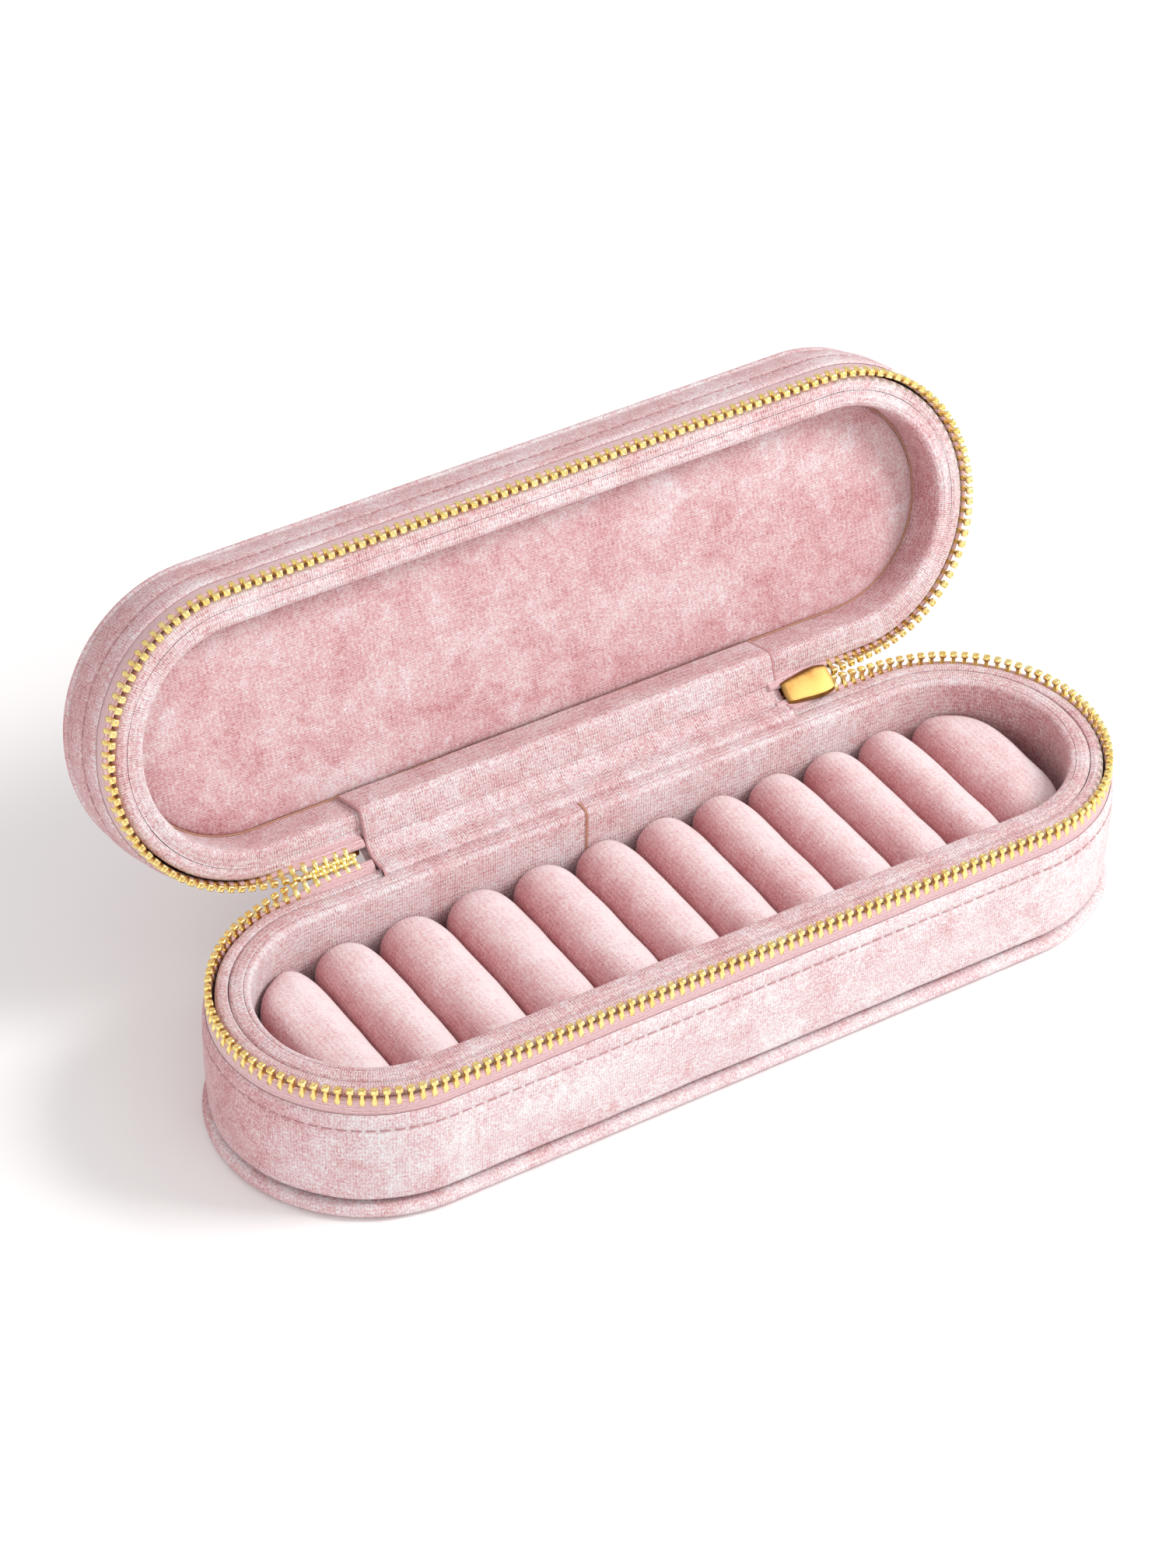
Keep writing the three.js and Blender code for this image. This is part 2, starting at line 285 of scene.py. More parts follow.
def lay_round(obj: Piece, radius: float) -> None:
    """Lays a UV map in metres: U runs round the pill and V across the section.

    Args:
        obj: a turned pill in its closed place.
        radius: the end radius, in metres, at which U is true.
    """
    layer = uv_map(obj)
    whole = 4 * HALF + 2 * math.pi * radius

    def along(co: Vector) -> float:
        """How far round the pill a point lies, from the middle of the back."""
        if abs(co.x) <= HALF:
            return co.x if co.y > 0 else 2 * HALF + math.pi * radius - co.x
        angle = math.atan2(abs(co.x) - HALF, co.y) * radius
        return HALF + angle if co.x > 0 else whole - HALF - angle

    for polygon in obj.data.polygons:
        us = [along(obj.data.vertices[v].co) % whole for v in polygon.vertices]
        for loop, vertex, u in zip(polygon.loop_indices, polygon.vertices, us):
            co = obj.data.vertices[vertex].co
            out = math.hypot(max(abs(co.x) - HALF, 0), co.y)
            wrapped = u + whole if max(us) - u > whole / 2 else u
            layer.data[loop].uv = (wrapped, co.z - out)


def keep_part(obj: Piece, low: float, high: float, between: bool) -> None:
    """Keeps one part of a turned ring and closes its cut ends.

    Args:
        obj: the ring, in its closed place.
        low: X of one cut across the back, in metres.
        high: X of the other cut.
        between: keeps the back between the cuts if set, and all the rest if not.
    """
    select_only(obj)
    bpy.ops.object.mode_set(mode="EDIT")
    sliced((low, high))
    pick(obj, lambda co: (low < co.x < high and co.y > 0) != between, "FACE")
    bpy.ops.mesh.delete(type="FACE")
    pick_open()
    bpy.ops.mesh.fill_holes(sides=0)
    face_outwards(obj)


def lay_flat(obj: Piece, across: Vector, along: Vector) -> None:
    """Lays a UV map in metres from two directions.

    Args:
        obj: the piece.
        across: the direction of U.
        along: the direction of V.
    """
    layer = uv_map(obj)
    for loop in obj.data.loops:
        co = obj.data.vertices[loop.vertex_index].co
        layer.data[loop.index].uv = (co.dot(across), co.dot(along))


def soften(obj: Piece, depth: float, scale: float, seed: float = 0.0) -> None:
    """Moves vertices in and out a little, as cloth over board never lies quite flat.

    Args:
        obj: the piece.
        depth: the largest move, in metres.
        scale: waves per metre.
        seed: shifts the pattern.
    """
    normals = [v.normal.copy() for v in obj.data.vertices]
    for vertex, normal in zip(obj.data.vertices, normals):
        wave = noise.noise(vertex.co * scale + Vector((seed, 0, 0)))
        vertex.co += normal * wave * depth


def smooth(obj: Piece, angle: float = 50) -> Piece:
    """Shades a piece smooth up to an angle in degrees.

    Args:
        obj: the piece.
        angle: the sharpest fold that is still shaded smooth.

    Returns:
        The piece.
    """
    select_only(obj)
    bpy.ops.object.shade_smooth_by_angle(angle=math.radians(angle))
    return obj


def refine(obj: Piece, levels: int = 1) -> None:
    """Adds and applies a subdivision surface.

    Args:
        obj: the piece.
        levels: how often every face is divided.
    """
    select_only(obj)
    mod = obj.modifiers.new("fine", "SUBSURF")
    mod.levels = mod.render_levels = levels
    bpy.ops.object.modifier_apply(modifier=mod.name)


def bevelled(obj: Piece, width: float, segments: int = 2) -> None:
    """Adds and applies a bevel on all sharp edges.

    Args:
        obj: the piece.
        width: the width, in metres.
        segments: how many faces go round each edge.
    """
    select_only(obj)
    mod = obj.modifiers.new("edge", "BEVEL")
    mod.width, mod.segments, mod.limit_method = width, segments, "ANGLE"
    bpy.ops.object.modifier_apply(modifier=mod.name)


def placed(obj: Piece, matrix: Matrix) -> Piece:
    """Puts a piece in place and applies it to the mesh.

    Args:
        obj: the piece.
        matrix: its place.

    Returns:
        The piece.
    """
    select_only(obj)
    obj.matrix_world = matrix
    bpy.ops.object.transform_apply(location=True, rotation=True, scale=True)
    return obj


def joined(name: str, pieces: Sequence[Piece]) -> Piece:
    """Joins pieces into one and names it.

    Args:
        name: the name of the whole.
        pieces: the pieces, the first of which stays.

    Returns:
        The whole.
    """
    clear_selection()
    for piece in pieces:
        piece.select_set(True)
    bpy.context.view_layer.objects.active = pieces[0]
    bpy.ops.object.join()
    pieces[0].name = pieces[0].data.name = name
    return pieces[0]


def copies(pattern: Piece, places: Iterable[Matrix], name: str) -> Piece:
    """Copies a small pattern to each place and joins the copies.

    Args:
        pattern: the piece modelled at the origin.
        places: where each copy goes.
        name: the joined piece's name.

    Returns:
        The joined piece.
    """
    made = []
    for place in places:
        copy = bpy.data.objects.new(name, pattern.data.copy())
        bpy.context.collection.objects.link(copy)
        copy.data.transform(place)
        made.append(copy)
    return joined(name, made)


def coated(obj: Piece, finish: bpy.types.Material) -> Piece:
    """Gives a piece its only material.

    Args:
        obj: the piece.
        finish: its material.

    Returns:
        The piece.
    """
    obj.data.materials.clear()
    obj.data.materials.append(finish)
    return obj


def finished(obj: Piece, finish: bpy.types.Material, slot: str, body: str, *nodes: str) -> Piece:
    """Gives a piece its material and body, and hides the CAD nodes it stands for.

    Args:
        obj: the piece.
        finish: its material.
        slot: not used.
        body: the body that it moves with.
        nodes: CAD nodes.

    Returns:
        The piece.
    """
    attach(coated(obj, finish), body)
    if nodes:
        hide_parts(*nodes)
    LOG.info("%s: %d faces", obj.name, len(obj.data.polygons))
    return obj


def round_path(radius: float, start: float, stop: float, count: int) -> list[tuple[Vector, Vector]]:
    """Evenly spaced places from the back's right, round the front, to the back's left.

    Args:
        radius: the end radius of the path, in metres.
        start: X of the first place, on the back.
        stop: X of the last place, on the back.
        count: how many places.

    Returns:
        (point, outward direction) pairs in the XY plane.
    """
    arc = math.pi * radius
    lengths = (HALF - start, arc, 2 * HALF, arc, HALF + stop)
    found = []
    for i in range(count):
        s = sum(lengths) * i / (count - 1)
        leg = 0
        while leg < len(lengths) - 1 and s > lengths[leg]:
            s -= lengths[leg]
            leg += 1
        if leg in (0, 4):
            x = start + s if leg == 0 else -HALF + s
            found.append((Vector((x, radius, 0)), Vector((0, 1, 0))))
        elif leg == 2:
            found.append((Vector((HALF - s, -radius, 0)), Vector((0, -1, 0))))
        else:
            side = 1 if leg == 1 else -1
            angle = side * math.pi / 2 - s / radius
            out = Vector((math.cos(angle), math.sin(angle), 0))
            found.append((Vector((side * HALF, 0, 0)) + out * radius, out))
    return found


def standing(point: Vector, out: Vector, z: float, flip: bool = False) -> Matrix:
    """A place on the path whose Y points outwards, upside down if flip is set.

    Args:
        point: the place, seen from above.
        out: the outward direction.
        z: its height, in metres.
        flip: turns it upside down.

    Returns:
        The matrix of the place.
    """
    along = Vector((-out.y, out.x, 0)) * (1 if flip else -1)
    up = Vector((0, 0, -1 if flip else 1))
    matrix = Matrix((along, out, up)).transposed().to_4x4()
    matrix.translation = Vector((point.x, point.y, z))
    return matrix


# Finishes -------------------------------------------------------------------------------


class Graph:
    """A small helper that adds and links shader nodes."""

    def __init__(self, tree: bpy.types.NodeTree) -> None:
        """Starts from an empty tree."""
        self.tree = tree
        tree.nodes.clear()

    def add(self, kind: str, inputs: dict | None = None, **props: object) -> bpy.types.Node:
        """Adds a node.

        Args:
            kind: the node's type without its ShaderNode prefix.
            inputs: values, or sockets to link, by input name or number.
            props: the node's own settings.

        Returns:
            The node.
        """
        prefix = "" if kind.startswith("Node") else "ShaderNode"
        node = self.tree.nodes.new(prefix + kind)
        for key, value in props.items():
            setattr(node, key, value)
        for key, value in (inputs or {}).items():
            if isinstance(value, bpy.types.NodeSocket):
                self.tree.links.new(value, node.inputs[key])
            else:
                node.inputs[key].default_value = value
        return node

    def math(self, operation: str, *values: object) -> bpy.types.NodeSocket:
        """Adds a math node and returns its output."""
        return self.add("Math", dict(enumerate(values)), operation=operation).outputs[0]

    def noise(self, vector: object, scale: object, detail: float, rough: float) -> bpy.types.NodeSocket:
        """Adds a noise texture and returns its value."""
        sockets = {"Vector": vector, "Scale": scale, "Detail": detail, "Roughness": rough}
        return self.add("TexNoise", sockets).outputs["Fac"]

    def spread(self, value: object, low: float, high: float, to: tuple[float, float]) -> object:
        """Maps low..high of a value to a range, clamped."""
        sockets = {0: value, 1: low, 2: high, 3: to[0], 4: to[1]}
        return self.add("MapRange", sockets, clamp=True).outputs[0]

    def ramp(self, value: object, *stops: tuple[float, Color]) -> bpy.types.NodeSocket:
        """Adds a colour ramp with (place, colour) stops, the lowest first, and returns its colour.

        Args:
            value: the socket that is looked up.
            stops: (place, colour) pairs.

        Returns:
            The colour socket.
        """
        node = self.add("ValToRGB", {0: value})
        elements = node.color_ramp.elements
        for element, (place, color) in zip(elements, (stops[0], stops[-1])):
            element.position, element.color = place, (*color, 1)
        for place, color in stops[1:-1]:
            elements.new(place).color = (*color, 1)
        return node.outputs[0]

    def bump(self, height: object, strength: float, distance: float) -> bpy.types.NodeSocket:
        """Adds a bump of a height and returns its normal."""
        return self.add("Bump", {"Height": height, "Strength": strength, "Distance": distance}).outputs[0]

    def surface(self, sockets: dict) -> None:
        """Adds the shader with its sockets and links it to the output."""
        shader = self.add("BsdfPrincipled", sockets)
        self.tree.links.new(shader.outputs[0], self.add("OutputMaterial").inputs[0])


def new_material(name: str) -> tuple[bpy.types.Material, Graph]:
    """Starts a material and returns it with its empty graph.

    Args:
        name: the material's name.

    Returns:
        The material and its graph.
    """
    material = bpy.data.materials.new(name)
    material.use_nodes = True
    return material, Graph(material.node_tree)


def new_group(name: str, ins: dict[str, tuple[str, object]], outs: Sequence[str]) -> tuple:
    """Starts a node group.

    Args:
        name: the group's name.
        ins: socket type and default by input name.
        outs: names of the outputs, which are all values.

    Returns:
        The group, its graph, its input node and its output node.
    """
    group = bpy.data.node_groups.new(name, "ShaderNodeTree")
    graph = Graph(group)
    for key, (kind, default) in ins.items():
        socket = group.interface.new_socket(name=key, in_out="INPUT", socket_type=kind)
        if default is not None:
            socket.default_value = default
    for key in outs:
        group.interface.new_socket(name=key, in_out="OUTPUT", socket_type="NodeSocketFloat")
    return group, graph, graph.add("NodeGroupInput"), graph.add("NodeGroupOutput")


def pile_group() -> bpy.types.NodeTree:
    """Velvet pile: patches where it is brushed or crushed, and its fine fibres.

    Returns:
        The group, with its patches, fibres and height as values.
    """
    ins = {
        "Vector": ("NodeSocketVector", None),
        "Patch": ("NodeSocketFloat", 60.0),
        "Fibre": ("NodeSocketFloat", 2600.0),
    }
    group, g, start, end = new_group("velvet_pile", ins, ("Crush", "Fibres", "Height"))
    vector, patch, fibre = (start.outputs[k] for k in ("Vector", "Patch", "Fibre"))
    warp = g.add("TexNoise", {"Vector": vector, "Scale": g.math("MULTIPLY", patch, 1.7), "Detail": 3.0})
    shift = g.add("VectorMath", {0: warp.outputs["Color"], 1: (0.5, 0.5, 0.5)}, operation="SUBTRACT")
    bent = g.add("VectorMath", {0: shift.outputs[0], "Scale": 0.012}, operation="SCALE")
    moved = g.add("VectorMath", {0: vector, 1: bent.outputs[0]}, operation="ADD").outputs[0]
    broad = g.noise(moved, patch, 4.0, 0.62)
    streak = g.noise(moved, g.math("MULTIPLY", patch, 4.3), 4.0, 0.6)
    crush = g.math("ADD", g.math("MULTIPLY", broad, 0.68), g.math("MULTIPLY", streak, 0.32))
    tips = g.noise(vector, fibre, 2.0, 0.6)
    height = g.math("ADD", g.math("MULTIPLY", crush, 0.5), g.math("MULTIPLY", tips, 0.5))
    for key, value in (("Crush", crush), ("Fibres", tips), ("Height", height)):
        g.tree.links.new(value, end.inputs[key])
    return group


def rows_group() -> bpy.types.NodeTree:
    """Fine knitted rows that follow a UV map laid in metres.

    Returns:
        The group, with its rows as a value.
    """
    ins = {"Pitch": ("NodeSocketFloat", 0.0006), "Sideways": ("NodeSocketFloat", 0.0)}
    group, g, start, end = new_group("knit_rows", ins, ("Rows",))
    uv = g.add("TexCoord").outputs["UV"]
    axes = g.add("SeparateXYZ", {0: uv})
    wobble = g.noise(uv, 1100.0, 3.0, 0.6)
    turn = g.math("DIVIDE", 2 * math.pi, start.outputs["Pitch"])
    across = g.math("SUBTRACT", 1.0, start.outputs["Sideways"])
    u = g.math("MULTIPLY", axes.outputs[0], across)
    v = g.math("MULTIPLY", axes.outputs[1], start.outputs["Sideways"])
    phase = g.math("MULTIPLY", g.math("ADD", u, v), turn)
    wave = g.math("SINE", g.math("ADD", phase, g.math("MULTIPLY", wobble, 7.0)))
    cross = g.math("MULTIPLY", g.math("ADD", axes.outputs[1], g.math("MULTIPLY", wobble, 0.0008)), turn)
    dash = g.math("SINE", g.math("MULTIPLY", cross, 0.55))
    worn = g.spread(g.noise(uv, 420.0, 3.0, 0.7), 0.42, 0.62, (0.05, 0.42))
    cells = g.math("MULTIPLY", g.math("MULTIPLY_ADD", dash, 0.5, wave), worn)
    g.tree.links.new(g.math("ADD", cells, 0.5), end.inputs["Rows"])
    return group


PILE_DEPTH = 0.5 * MM
FIBRES = 1900.0  # fibre waves per metre


@dataclass(frozen=True)
class Velvet:
    """Short-pile velvet: crushed patches, knitted rows, and painted light that colours faces turned one way
    lighter and faces turned away darker.
    """

    name: str
    # deep and light were matched to shaded and lit velvet; the tone between them comes partly from the
    # painted light below and partly from random crushed patches
    deep: Color = (0.44, 0.165, 0.175)
    mid: Color = (0.635, 0.395, 0.412)
    light: Color = (0.765, 0.745, 0.752)
    patch: float = 85.0
    mottle: float = 0.7
    rows: float = 0.35
    # painted light: faces turned along this direction are coloured lighter and faces turned away darker, as
    # if lit from that side
    pile_and_painted_light: Color = (0.07, -0.12, 0.05)
    bump: float = 0.5
    grain: float = 0.76  # how strongly single fibres catch the light

    def build(self, pile: bpy.types.NodeTree, rows: bpy.types.NodeTree) -> bpy.types.Material:
        """Builds the material from the shared groups.

        Args:
            pile: the pile group.
            rows: the knitted rows group.

        Returns:
            The material.
        """
        material, g = new_material(self.name)
        coords = g.add("TexCoord")
        pile_and_painted_light = g.add("Group", node_tree=pile)
        g.tree.links.new(coords.outputs["Object"], pile_and_painted_light.inputs["Vector"])
        pile_and_painted_light.inputs["Patch"].default_value = self.patch
        pile_and_painted_light.inputs["Fibre"].default_value = FIBRES
        knit = g.add("Group", node_tree=rows)
        # painted light: how far each face turns towards the painted-light direction, added to the tone that
        # picks the base colour
        lean = g.add("VectorMath", {0: coords.outputs["Normal"], 1: self.pile_and_painted_light}, operation="DOT_PRODUCT")
        crushed = g.math("MULTIPLY_ADD", pile_and_painted_light.outputs["Crush"], self.mottle, 0.5 * (1 - self.mottle))
        tips = g.math("MULTIPLY_ADD", pile_and_painted_light.outputs["Fibres"], self.grain, -0.5 * self.grain)
        row = g.math("MULTIPLY_ADD", knit.outputs[0], 0.5 * self.rows, -0.25 * self.rows)
        tone = g.math("ADD", g.math("ADD", crushed, lean.outputs["Value"]), g.math("ADD", tips, row))
        height = g.math("ADD", pile_and_painted_light.outputs["Height"], g.math("MULTIPLY", knit.outputs[0], self.rows))
        g.surface({
            "Base Color": g.ramp(tone, (0.24, self.deep), (0.48, self.mid), (0.74, self.light)),
            "Roughness": g.spread(pile_and_painted_light.outputs["Crush"], 0.35, 0.65, (0.98, 0.8)),
            "Normal": g.bump(height, self.bump, PILE_DEPTH),
            "Sheen Weight": 0.45, "Sheen Roughness": 0.3, "Sheen Tint": (1.0, 0.82, 0.83, 1),
            "Specular IOR Level": 0.1,
        })
        return material


@dataclass(frozen=True)
class Weave:
    """Close woven tape or thread, with ribs along one direction of its UV map."""

    name: str
    dark: Color
    light: Color
    pitch: float = 0.0005
    sideways: float = 1.0

    def build(self, rows: bpy.types.NodeTree) -> bpy.types.Material:
        """Builds the material from the shared group.

        Args:
            rows: the rows group.

        Returns:
            The material.
        """
        material, g = new_material(self.name)
        knit = g.add("Group", node_tree=rows)
        knit.inputs["Pitch"].default_value = self.pitch
        knit.inputs["Sideways"].default_value = self.sideways
        fleck = g.noise(g.add("TexCoord").outputs["Object"], 1800.0, 2.0, 0.6)
        fac = g.math("MULTIPLY_ADD", knit.outputs[0], 0.6, g.math("MULTIPLY", fleck, 0.4))
        g.surface({
            "Base Color": g.ramp(fac, (0.2, self.dark), (0.75, self.light)),
            "Roughness": g.spread(fleck, 0.3, 0.7, (0.7, 0.95)),
            "Normal": g.bump(fac, 0.4, 0.2 * MM),
            "Sheen Weight": 0.3, "Specular IOR Level": 0.25,
        })
        return material


@dataclass(frozen=True)
class Gold:
    """Pale gold plating with faint handling marks."""

    name: str
    color: Color
    worn: Color
    rough: tuple[float, float]

    def build(self) -> bpy.types.Material:
        """Builds the material.

        Returns:
            The material.
        """
        material, g = new_material(self.name)
        vector = g.add("TexCoord").outputs["Object"]
        clouds = g.noise(vector, 260.0, 3.0, 0.6)
        grain = g.noise(vector, 3200.0, 2.0, 0.6)
        g.surface({
            "Base Color": g.ramp(clouds, (0.35, self.worn), (0.6, self.color)),
            "Metallic": 1.0,
            "Normal": g.bump(grain, 0.12, 0.1 * MM),
            "Roughness": g.spread(clouds, 0.3, 0.7, self.rough),
        })
        return material


@dataclass(frozen=True)
class Plain:
    """Card or foam with a fine uneven surface."""

    name: str
    dark: Color
    light: Color
    scale: float

    def build(self) -> bpy.types.Material:
        """Builds the material.

        Returns:
            The material.
        """
        material, g = new_material(self.name)
        cells = g.noise(g.add("TexCoord").outputs["Object"], self.scale, 3.0, 0.6)
        g.surface({
            "Base Color": g.ramp(cells, (0.0, self.dark), (1.0, self.light)),
            "Roughness": g.spread(cells, 0.3, 0.7, (0.85, 0.98)),
            "Normal": g.bump(cells, 0.3, 0.3 * MM),
        })
        return material


class Palette:
    """Every finish of the box, built once."""

    def __init__(self) -> None:
        """Builds the shared groups and the materials."""
        pile, rows = pile_group(), rows_group()
        # Painted light for each velvet: the outer velvet is coloured lighter on faces turned to the front,
        # the lining and the floor on faces turned to +X, the rolls on faces turned to +X and up.
        self.outer = Velvet("outer_velvet").build(pile, rows)
        self.lining = Velvet(
            "lining_velvet", patch=95.0, rows=0.7, pile_and_painted_light=(0.12, -0.06, 0.03)
        ).build(pile, rows)
        self.floor = Velvet(
            "floor_velvet", patch=70.0, mottle=0.8, pile_and_painted_light=(0.2, 0.0, -0.02), grain=0.62
        ).build(pile, rows)
        self.roll = Velvet(
            "roll_velvet", (0.47, 0.165, 0.175), (0.67, 0.38, 0.395), (0.83, 0.72, 0.73),
            patch=90.0, mottle=0.45, rows=0.5, pile_and_painted_light=(0.26, -0.02, 0.16), bump=0.3, grain=0.5,
        ).build(pile, rows)
        self.tape = Weave("tape_weave", (0.46, 0.22, 0.24), (0.80, 0.58, 0.59)).build(rows)
        # the topstitch's thread colour, also used as painted shade along the flap's folded edges
        self.thread = Weave("pink_thread", (0.42, 0.18, 0.19), (0.62, 0.36, 0.37)).build(rows)
        self.tan = Weave("tan_thread", (0.33, 0.14, 0.09), (0.55, 0.29, 0.2)).build(rows)
        self.gold = Gold("gold_teeth", (1.0, 0.83, 0.36), (0.95, 0.70, 0.22), (0.2, 0.34)).build()
        # painted shade: the slider's gold is much darker than the teeth's, so it reflects less of the
        # bright room and looks shaded
        self.slider = Gold("shaded_gold_slider", (0.37, 0.205, 0.065), (0.25, 0.125, 0.035), (0.3, 0.45)).build()
        self.card = Plain("pad_card", (0.16, 0.10, 0.09), (0.30, 0.2, 0.18), 900.0).build()
        self.foam = Plain("pad_foam", (0.6, 0.55, 0.48), (0.8, 0.75, 0.68), 1500.0).build()


# Sub-assemblies -------------------------------------------------------------------------


@dataclass(frozen=True)
class Bend:
    """Where the end of a chain leans over to meet the other half. X places are in millimetres."""

    side: str
    start: float  # where it begins to lean
    middle: float  # where it has come halfway to the other half, and meets it
    last_tooth: float
    last_tape: float

    def share(self, x: float) -> float:
        """How far towards the other half a place leans: at most halfway."""
        t = min(max((x / MM - self.start) / (self.middle - self.start) / 2, 0), 1)
        return min(t * t * (3 - 2 * t), 0.5)

    def holds(self, point: Vector) -> bool:
        """Whether a place on the back leans."""
        low, high = sorted((self.start, self.last_tooth))
        return point.y > 0 and low <= point.x / MM <= high + 0.01

    def met(self, point: Vector) -> bool:
        """Whether a place is past the middle."""
        return (point.x / MM - self.middle) * (self.middle - self.start) > 0

    def lean(self, obj: Piece, half: Half) -> None:
        """Turns a closed piece about the hinge line, more towards its end.

        Args:
            obj: the piece, in its closed place.
            half: the half it belongs to.
        """
        sign = -1 if half is Half.BASE else 1
        for vertex in obj.data.vertices:
            turn = Matrix.Rotation(sign * self.share(vertex.co.x) * OPEN_ANGLE, 3, "X")
            arm = turn @ Vector((0, vertex.co.y - HINGE_AT.y, vertex.co.z - HINGE_AT.z))
            vertex.co.y, vertex.co.z = HINGE_AT.y + arm.y, HINGE_AT.z + arm.z

    def follow(self, obj: Piece) -> None:
        """Applies a leaning piece's place to its mesh.

        Args:
            obj: the leaning piece, final.
        """
        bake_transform(obj)


TOOTH_STEPS = (  # millimetres up, then how much wider and thicker: legs, shoulder, neck, head, crown
    (0.35, 1.0, 1.0), (0.3, 0.66, 0.86), (1.1, 0.98, 0.9),
    (0.3, 2.08, 1.15), (0.55, 1.04, 1.1), (0.45, 0.66, 0.66),
)
BENDS = (Bend("left", -86, -68, -58.9, -55.3), Bend("right", 86, 54, 65.2, 49.3))


@dataclass
class Shell:
    """One half's covered walls: outer velvet, rim, liner, tape, teeth and stitching.

    Heights are measured from the parting plane, away from the other half, in millimetres.
    """

    half: Half
    finishes: Palette
    cover_top: float = 5.2  # folded edge of the outer velvet
    cover_low: float = 29.6  # its far edge
    stitch: float = 9.3  # dashed topstitch below the fold
    stitch_end: float = 64.0  # X of the first and last stitch, on the back
    stitch_count: int = 131
    taper: float = 0.5  # how far the wall leans in at its far edge
    liner_inner: float = 24.3
    liner_low: float = 27.0
    groove: float = 0.28  # depth of the sewn line near the collar's edge
    valley: float = 0.5  # depth of the line between rim and collar
    tooth_count: int = 156
    tooth_r: float = 33.4  # the chain's centre line, round the ends

    def named(self, part: str) -> str:
        """The name of a part of this half."""
        return f"{self.half.value}_{part}"

    def height(self, depth: float) -> float:
        """The height, in millimetres with the box closed, at a depth from the parting plane."""
        sign = -1 if self.half is Half.BASE else 1
        return PARTING_Z / MM + sign * depth

    def turned(self, name: str, section: Section) -> Piece:
        """Turns a section given as (radius, depth from the parting plane).

        Args:
            name: the piece's name.
            section: its points, in millimetres.

        Returns:
            The piece, in its closed place.
        """
        obj = turned_pill(name, [(r, self.height(d)) for r, d in section])
        lay_round(obj, 33 * MM)
        return obj

    def settle(self, obj: Piece) -> Piece:
        """Swings a lid piece open with its half, and leaves a base piece where it is."""
        return placed(obj, OPENING) if self.half is Half.LID else obj

    def dress(self, obj: Piece, finish: bpy.types.Material, slot: str, *nodes: str) -> Piece:
        """Finishes a piece of this half."""
        smooth(self.settle(obj))
        return finished(obj, finish, slot, self.half.value, *nodes)

    def cover(self) -> Piece:
        """The outer velvet, folded in at the zip and sunk along its topstitch.

        Returns:
            The wall.
        """
        top, low, s, inset = self.cover_top, self.cover_low, self.stitch, self.taper
        section = [
            (33.6 - inset, low), (34.2 - inset, low - 0.1), (34.65 - inset, low - 0.6),
            (34.87 - inset, low - 1.7), (34.95 - inset * 0.7, low - 5), (35.0 - inset * 0.3, (low + s) / 2),
            (34.95, s + 2.5), (34.82, s + 0.6), (34.55, s), (34.8, s - 0.6), (34.85, s - 1.6),
            (34.75, top + 0.8), (34.5, top + 0.2), (34.2, top), (33.95, top + 0.3), (33.9, top + 3),
            (33.6 - inset, (low + top) / 2),
        ]
        obj = self.turned(self.named("wall_velvet"), section)
        soften(obj, 0.16 * MM, 90)
        return self.dress(obj, self.finishes.outer, "velvet", self.named("wall_cover"))

    def topstitch(self) -> Piece:
        """Short sunk stitches round the outer wall.

        Returns:
            The stitches, joined.
        """
        clear_selection()
        bpy.ops.mesh.primitive_cylinder_add(
            vertices=6, radius=0.2 * MM, depth=2.1 * MM, rotation=(0, math.pi / 2, 0)
        )
        stitch = started("stitch")
        bevelled(stitch, 0.08 * MM, 1)
        end = self.stitch_end * MM
        places = round_path(34.68 * MM, end, -end, self.stitch_count)
        matrices = [standing(p, out, self.height(self.stitch) * MM) for p, out in places]
        obj = copies(stitch, matrices, self.named("topstitch"))
        bpy.data.objects.remove(stitch)
        return self.dress(obj, self.finishes.thread, "velvet")

    def tape(self) -> Piece:
        """The zip tape, with the corded edge that the teeth are clamped on.

        Returns:
            The part of the tape that moves with this half.
        """
        name = self.named("tape")
        cord = [
            (34.0, 3.7), (34.12, 3.1), (34.1, 2.4), (33.95, 1.8), (33.65, 1.48),
            (33.2, 1.46), (32.8, 1.65), (32.62, 2.2), (32.68, 3.1), (33.0, 3.7),
        ]
        obj = self.turned(name, [(34.05, 15.6), (34.05, 8), *cord, (33.4, 8), (33.4, 15.6)])
        left, right = BENDS
        keep_part(obj, left.start * MM, right.start * MM, between=False)
        hems = []
        for low, high in ((left.start, left.last_tape), (right.last_tape, right.start)):
            hem = self.turned(name + "_hem", [(34.05, 15.6), (34.05, 4.6), (33.4, 4.6), (33.4, 15.6)])
            keep_part(hem, low * MM, high * MM, between=True)
            hems.append(hem)
        obj = joined(name, [obj, *hems])
        for bend in BENDS:
            end = self.turned(f"{name}_{bend.side}", [(33.9, 5.6), *cord, (33.3, 5.6)])
            keep_part(end, *sorted((bend.start * MM, bend.last_tape * MM)), between=True)
            self.lean(end, bend, self.finishes.tape, "zip_tape")
        return self.dress(obj, self.finishes.tape, "zip_tape", self.named("zip_tape"))

    def lean(self, obj: Piece, bend: Bend, finish: bpy.types.Material, slot: str) -> None:
        """Leans an end of the chain or tape over and gives it its finish.

        Args:
            obj: the piece, in its closed place.
            bend: the end it belongs to.
            finish: its material.
            slot: not used.
        """
        bend.lean(obj, self.half)
        coated(smooth(self.settle(obj)), finish)
        bend.follow(obj)

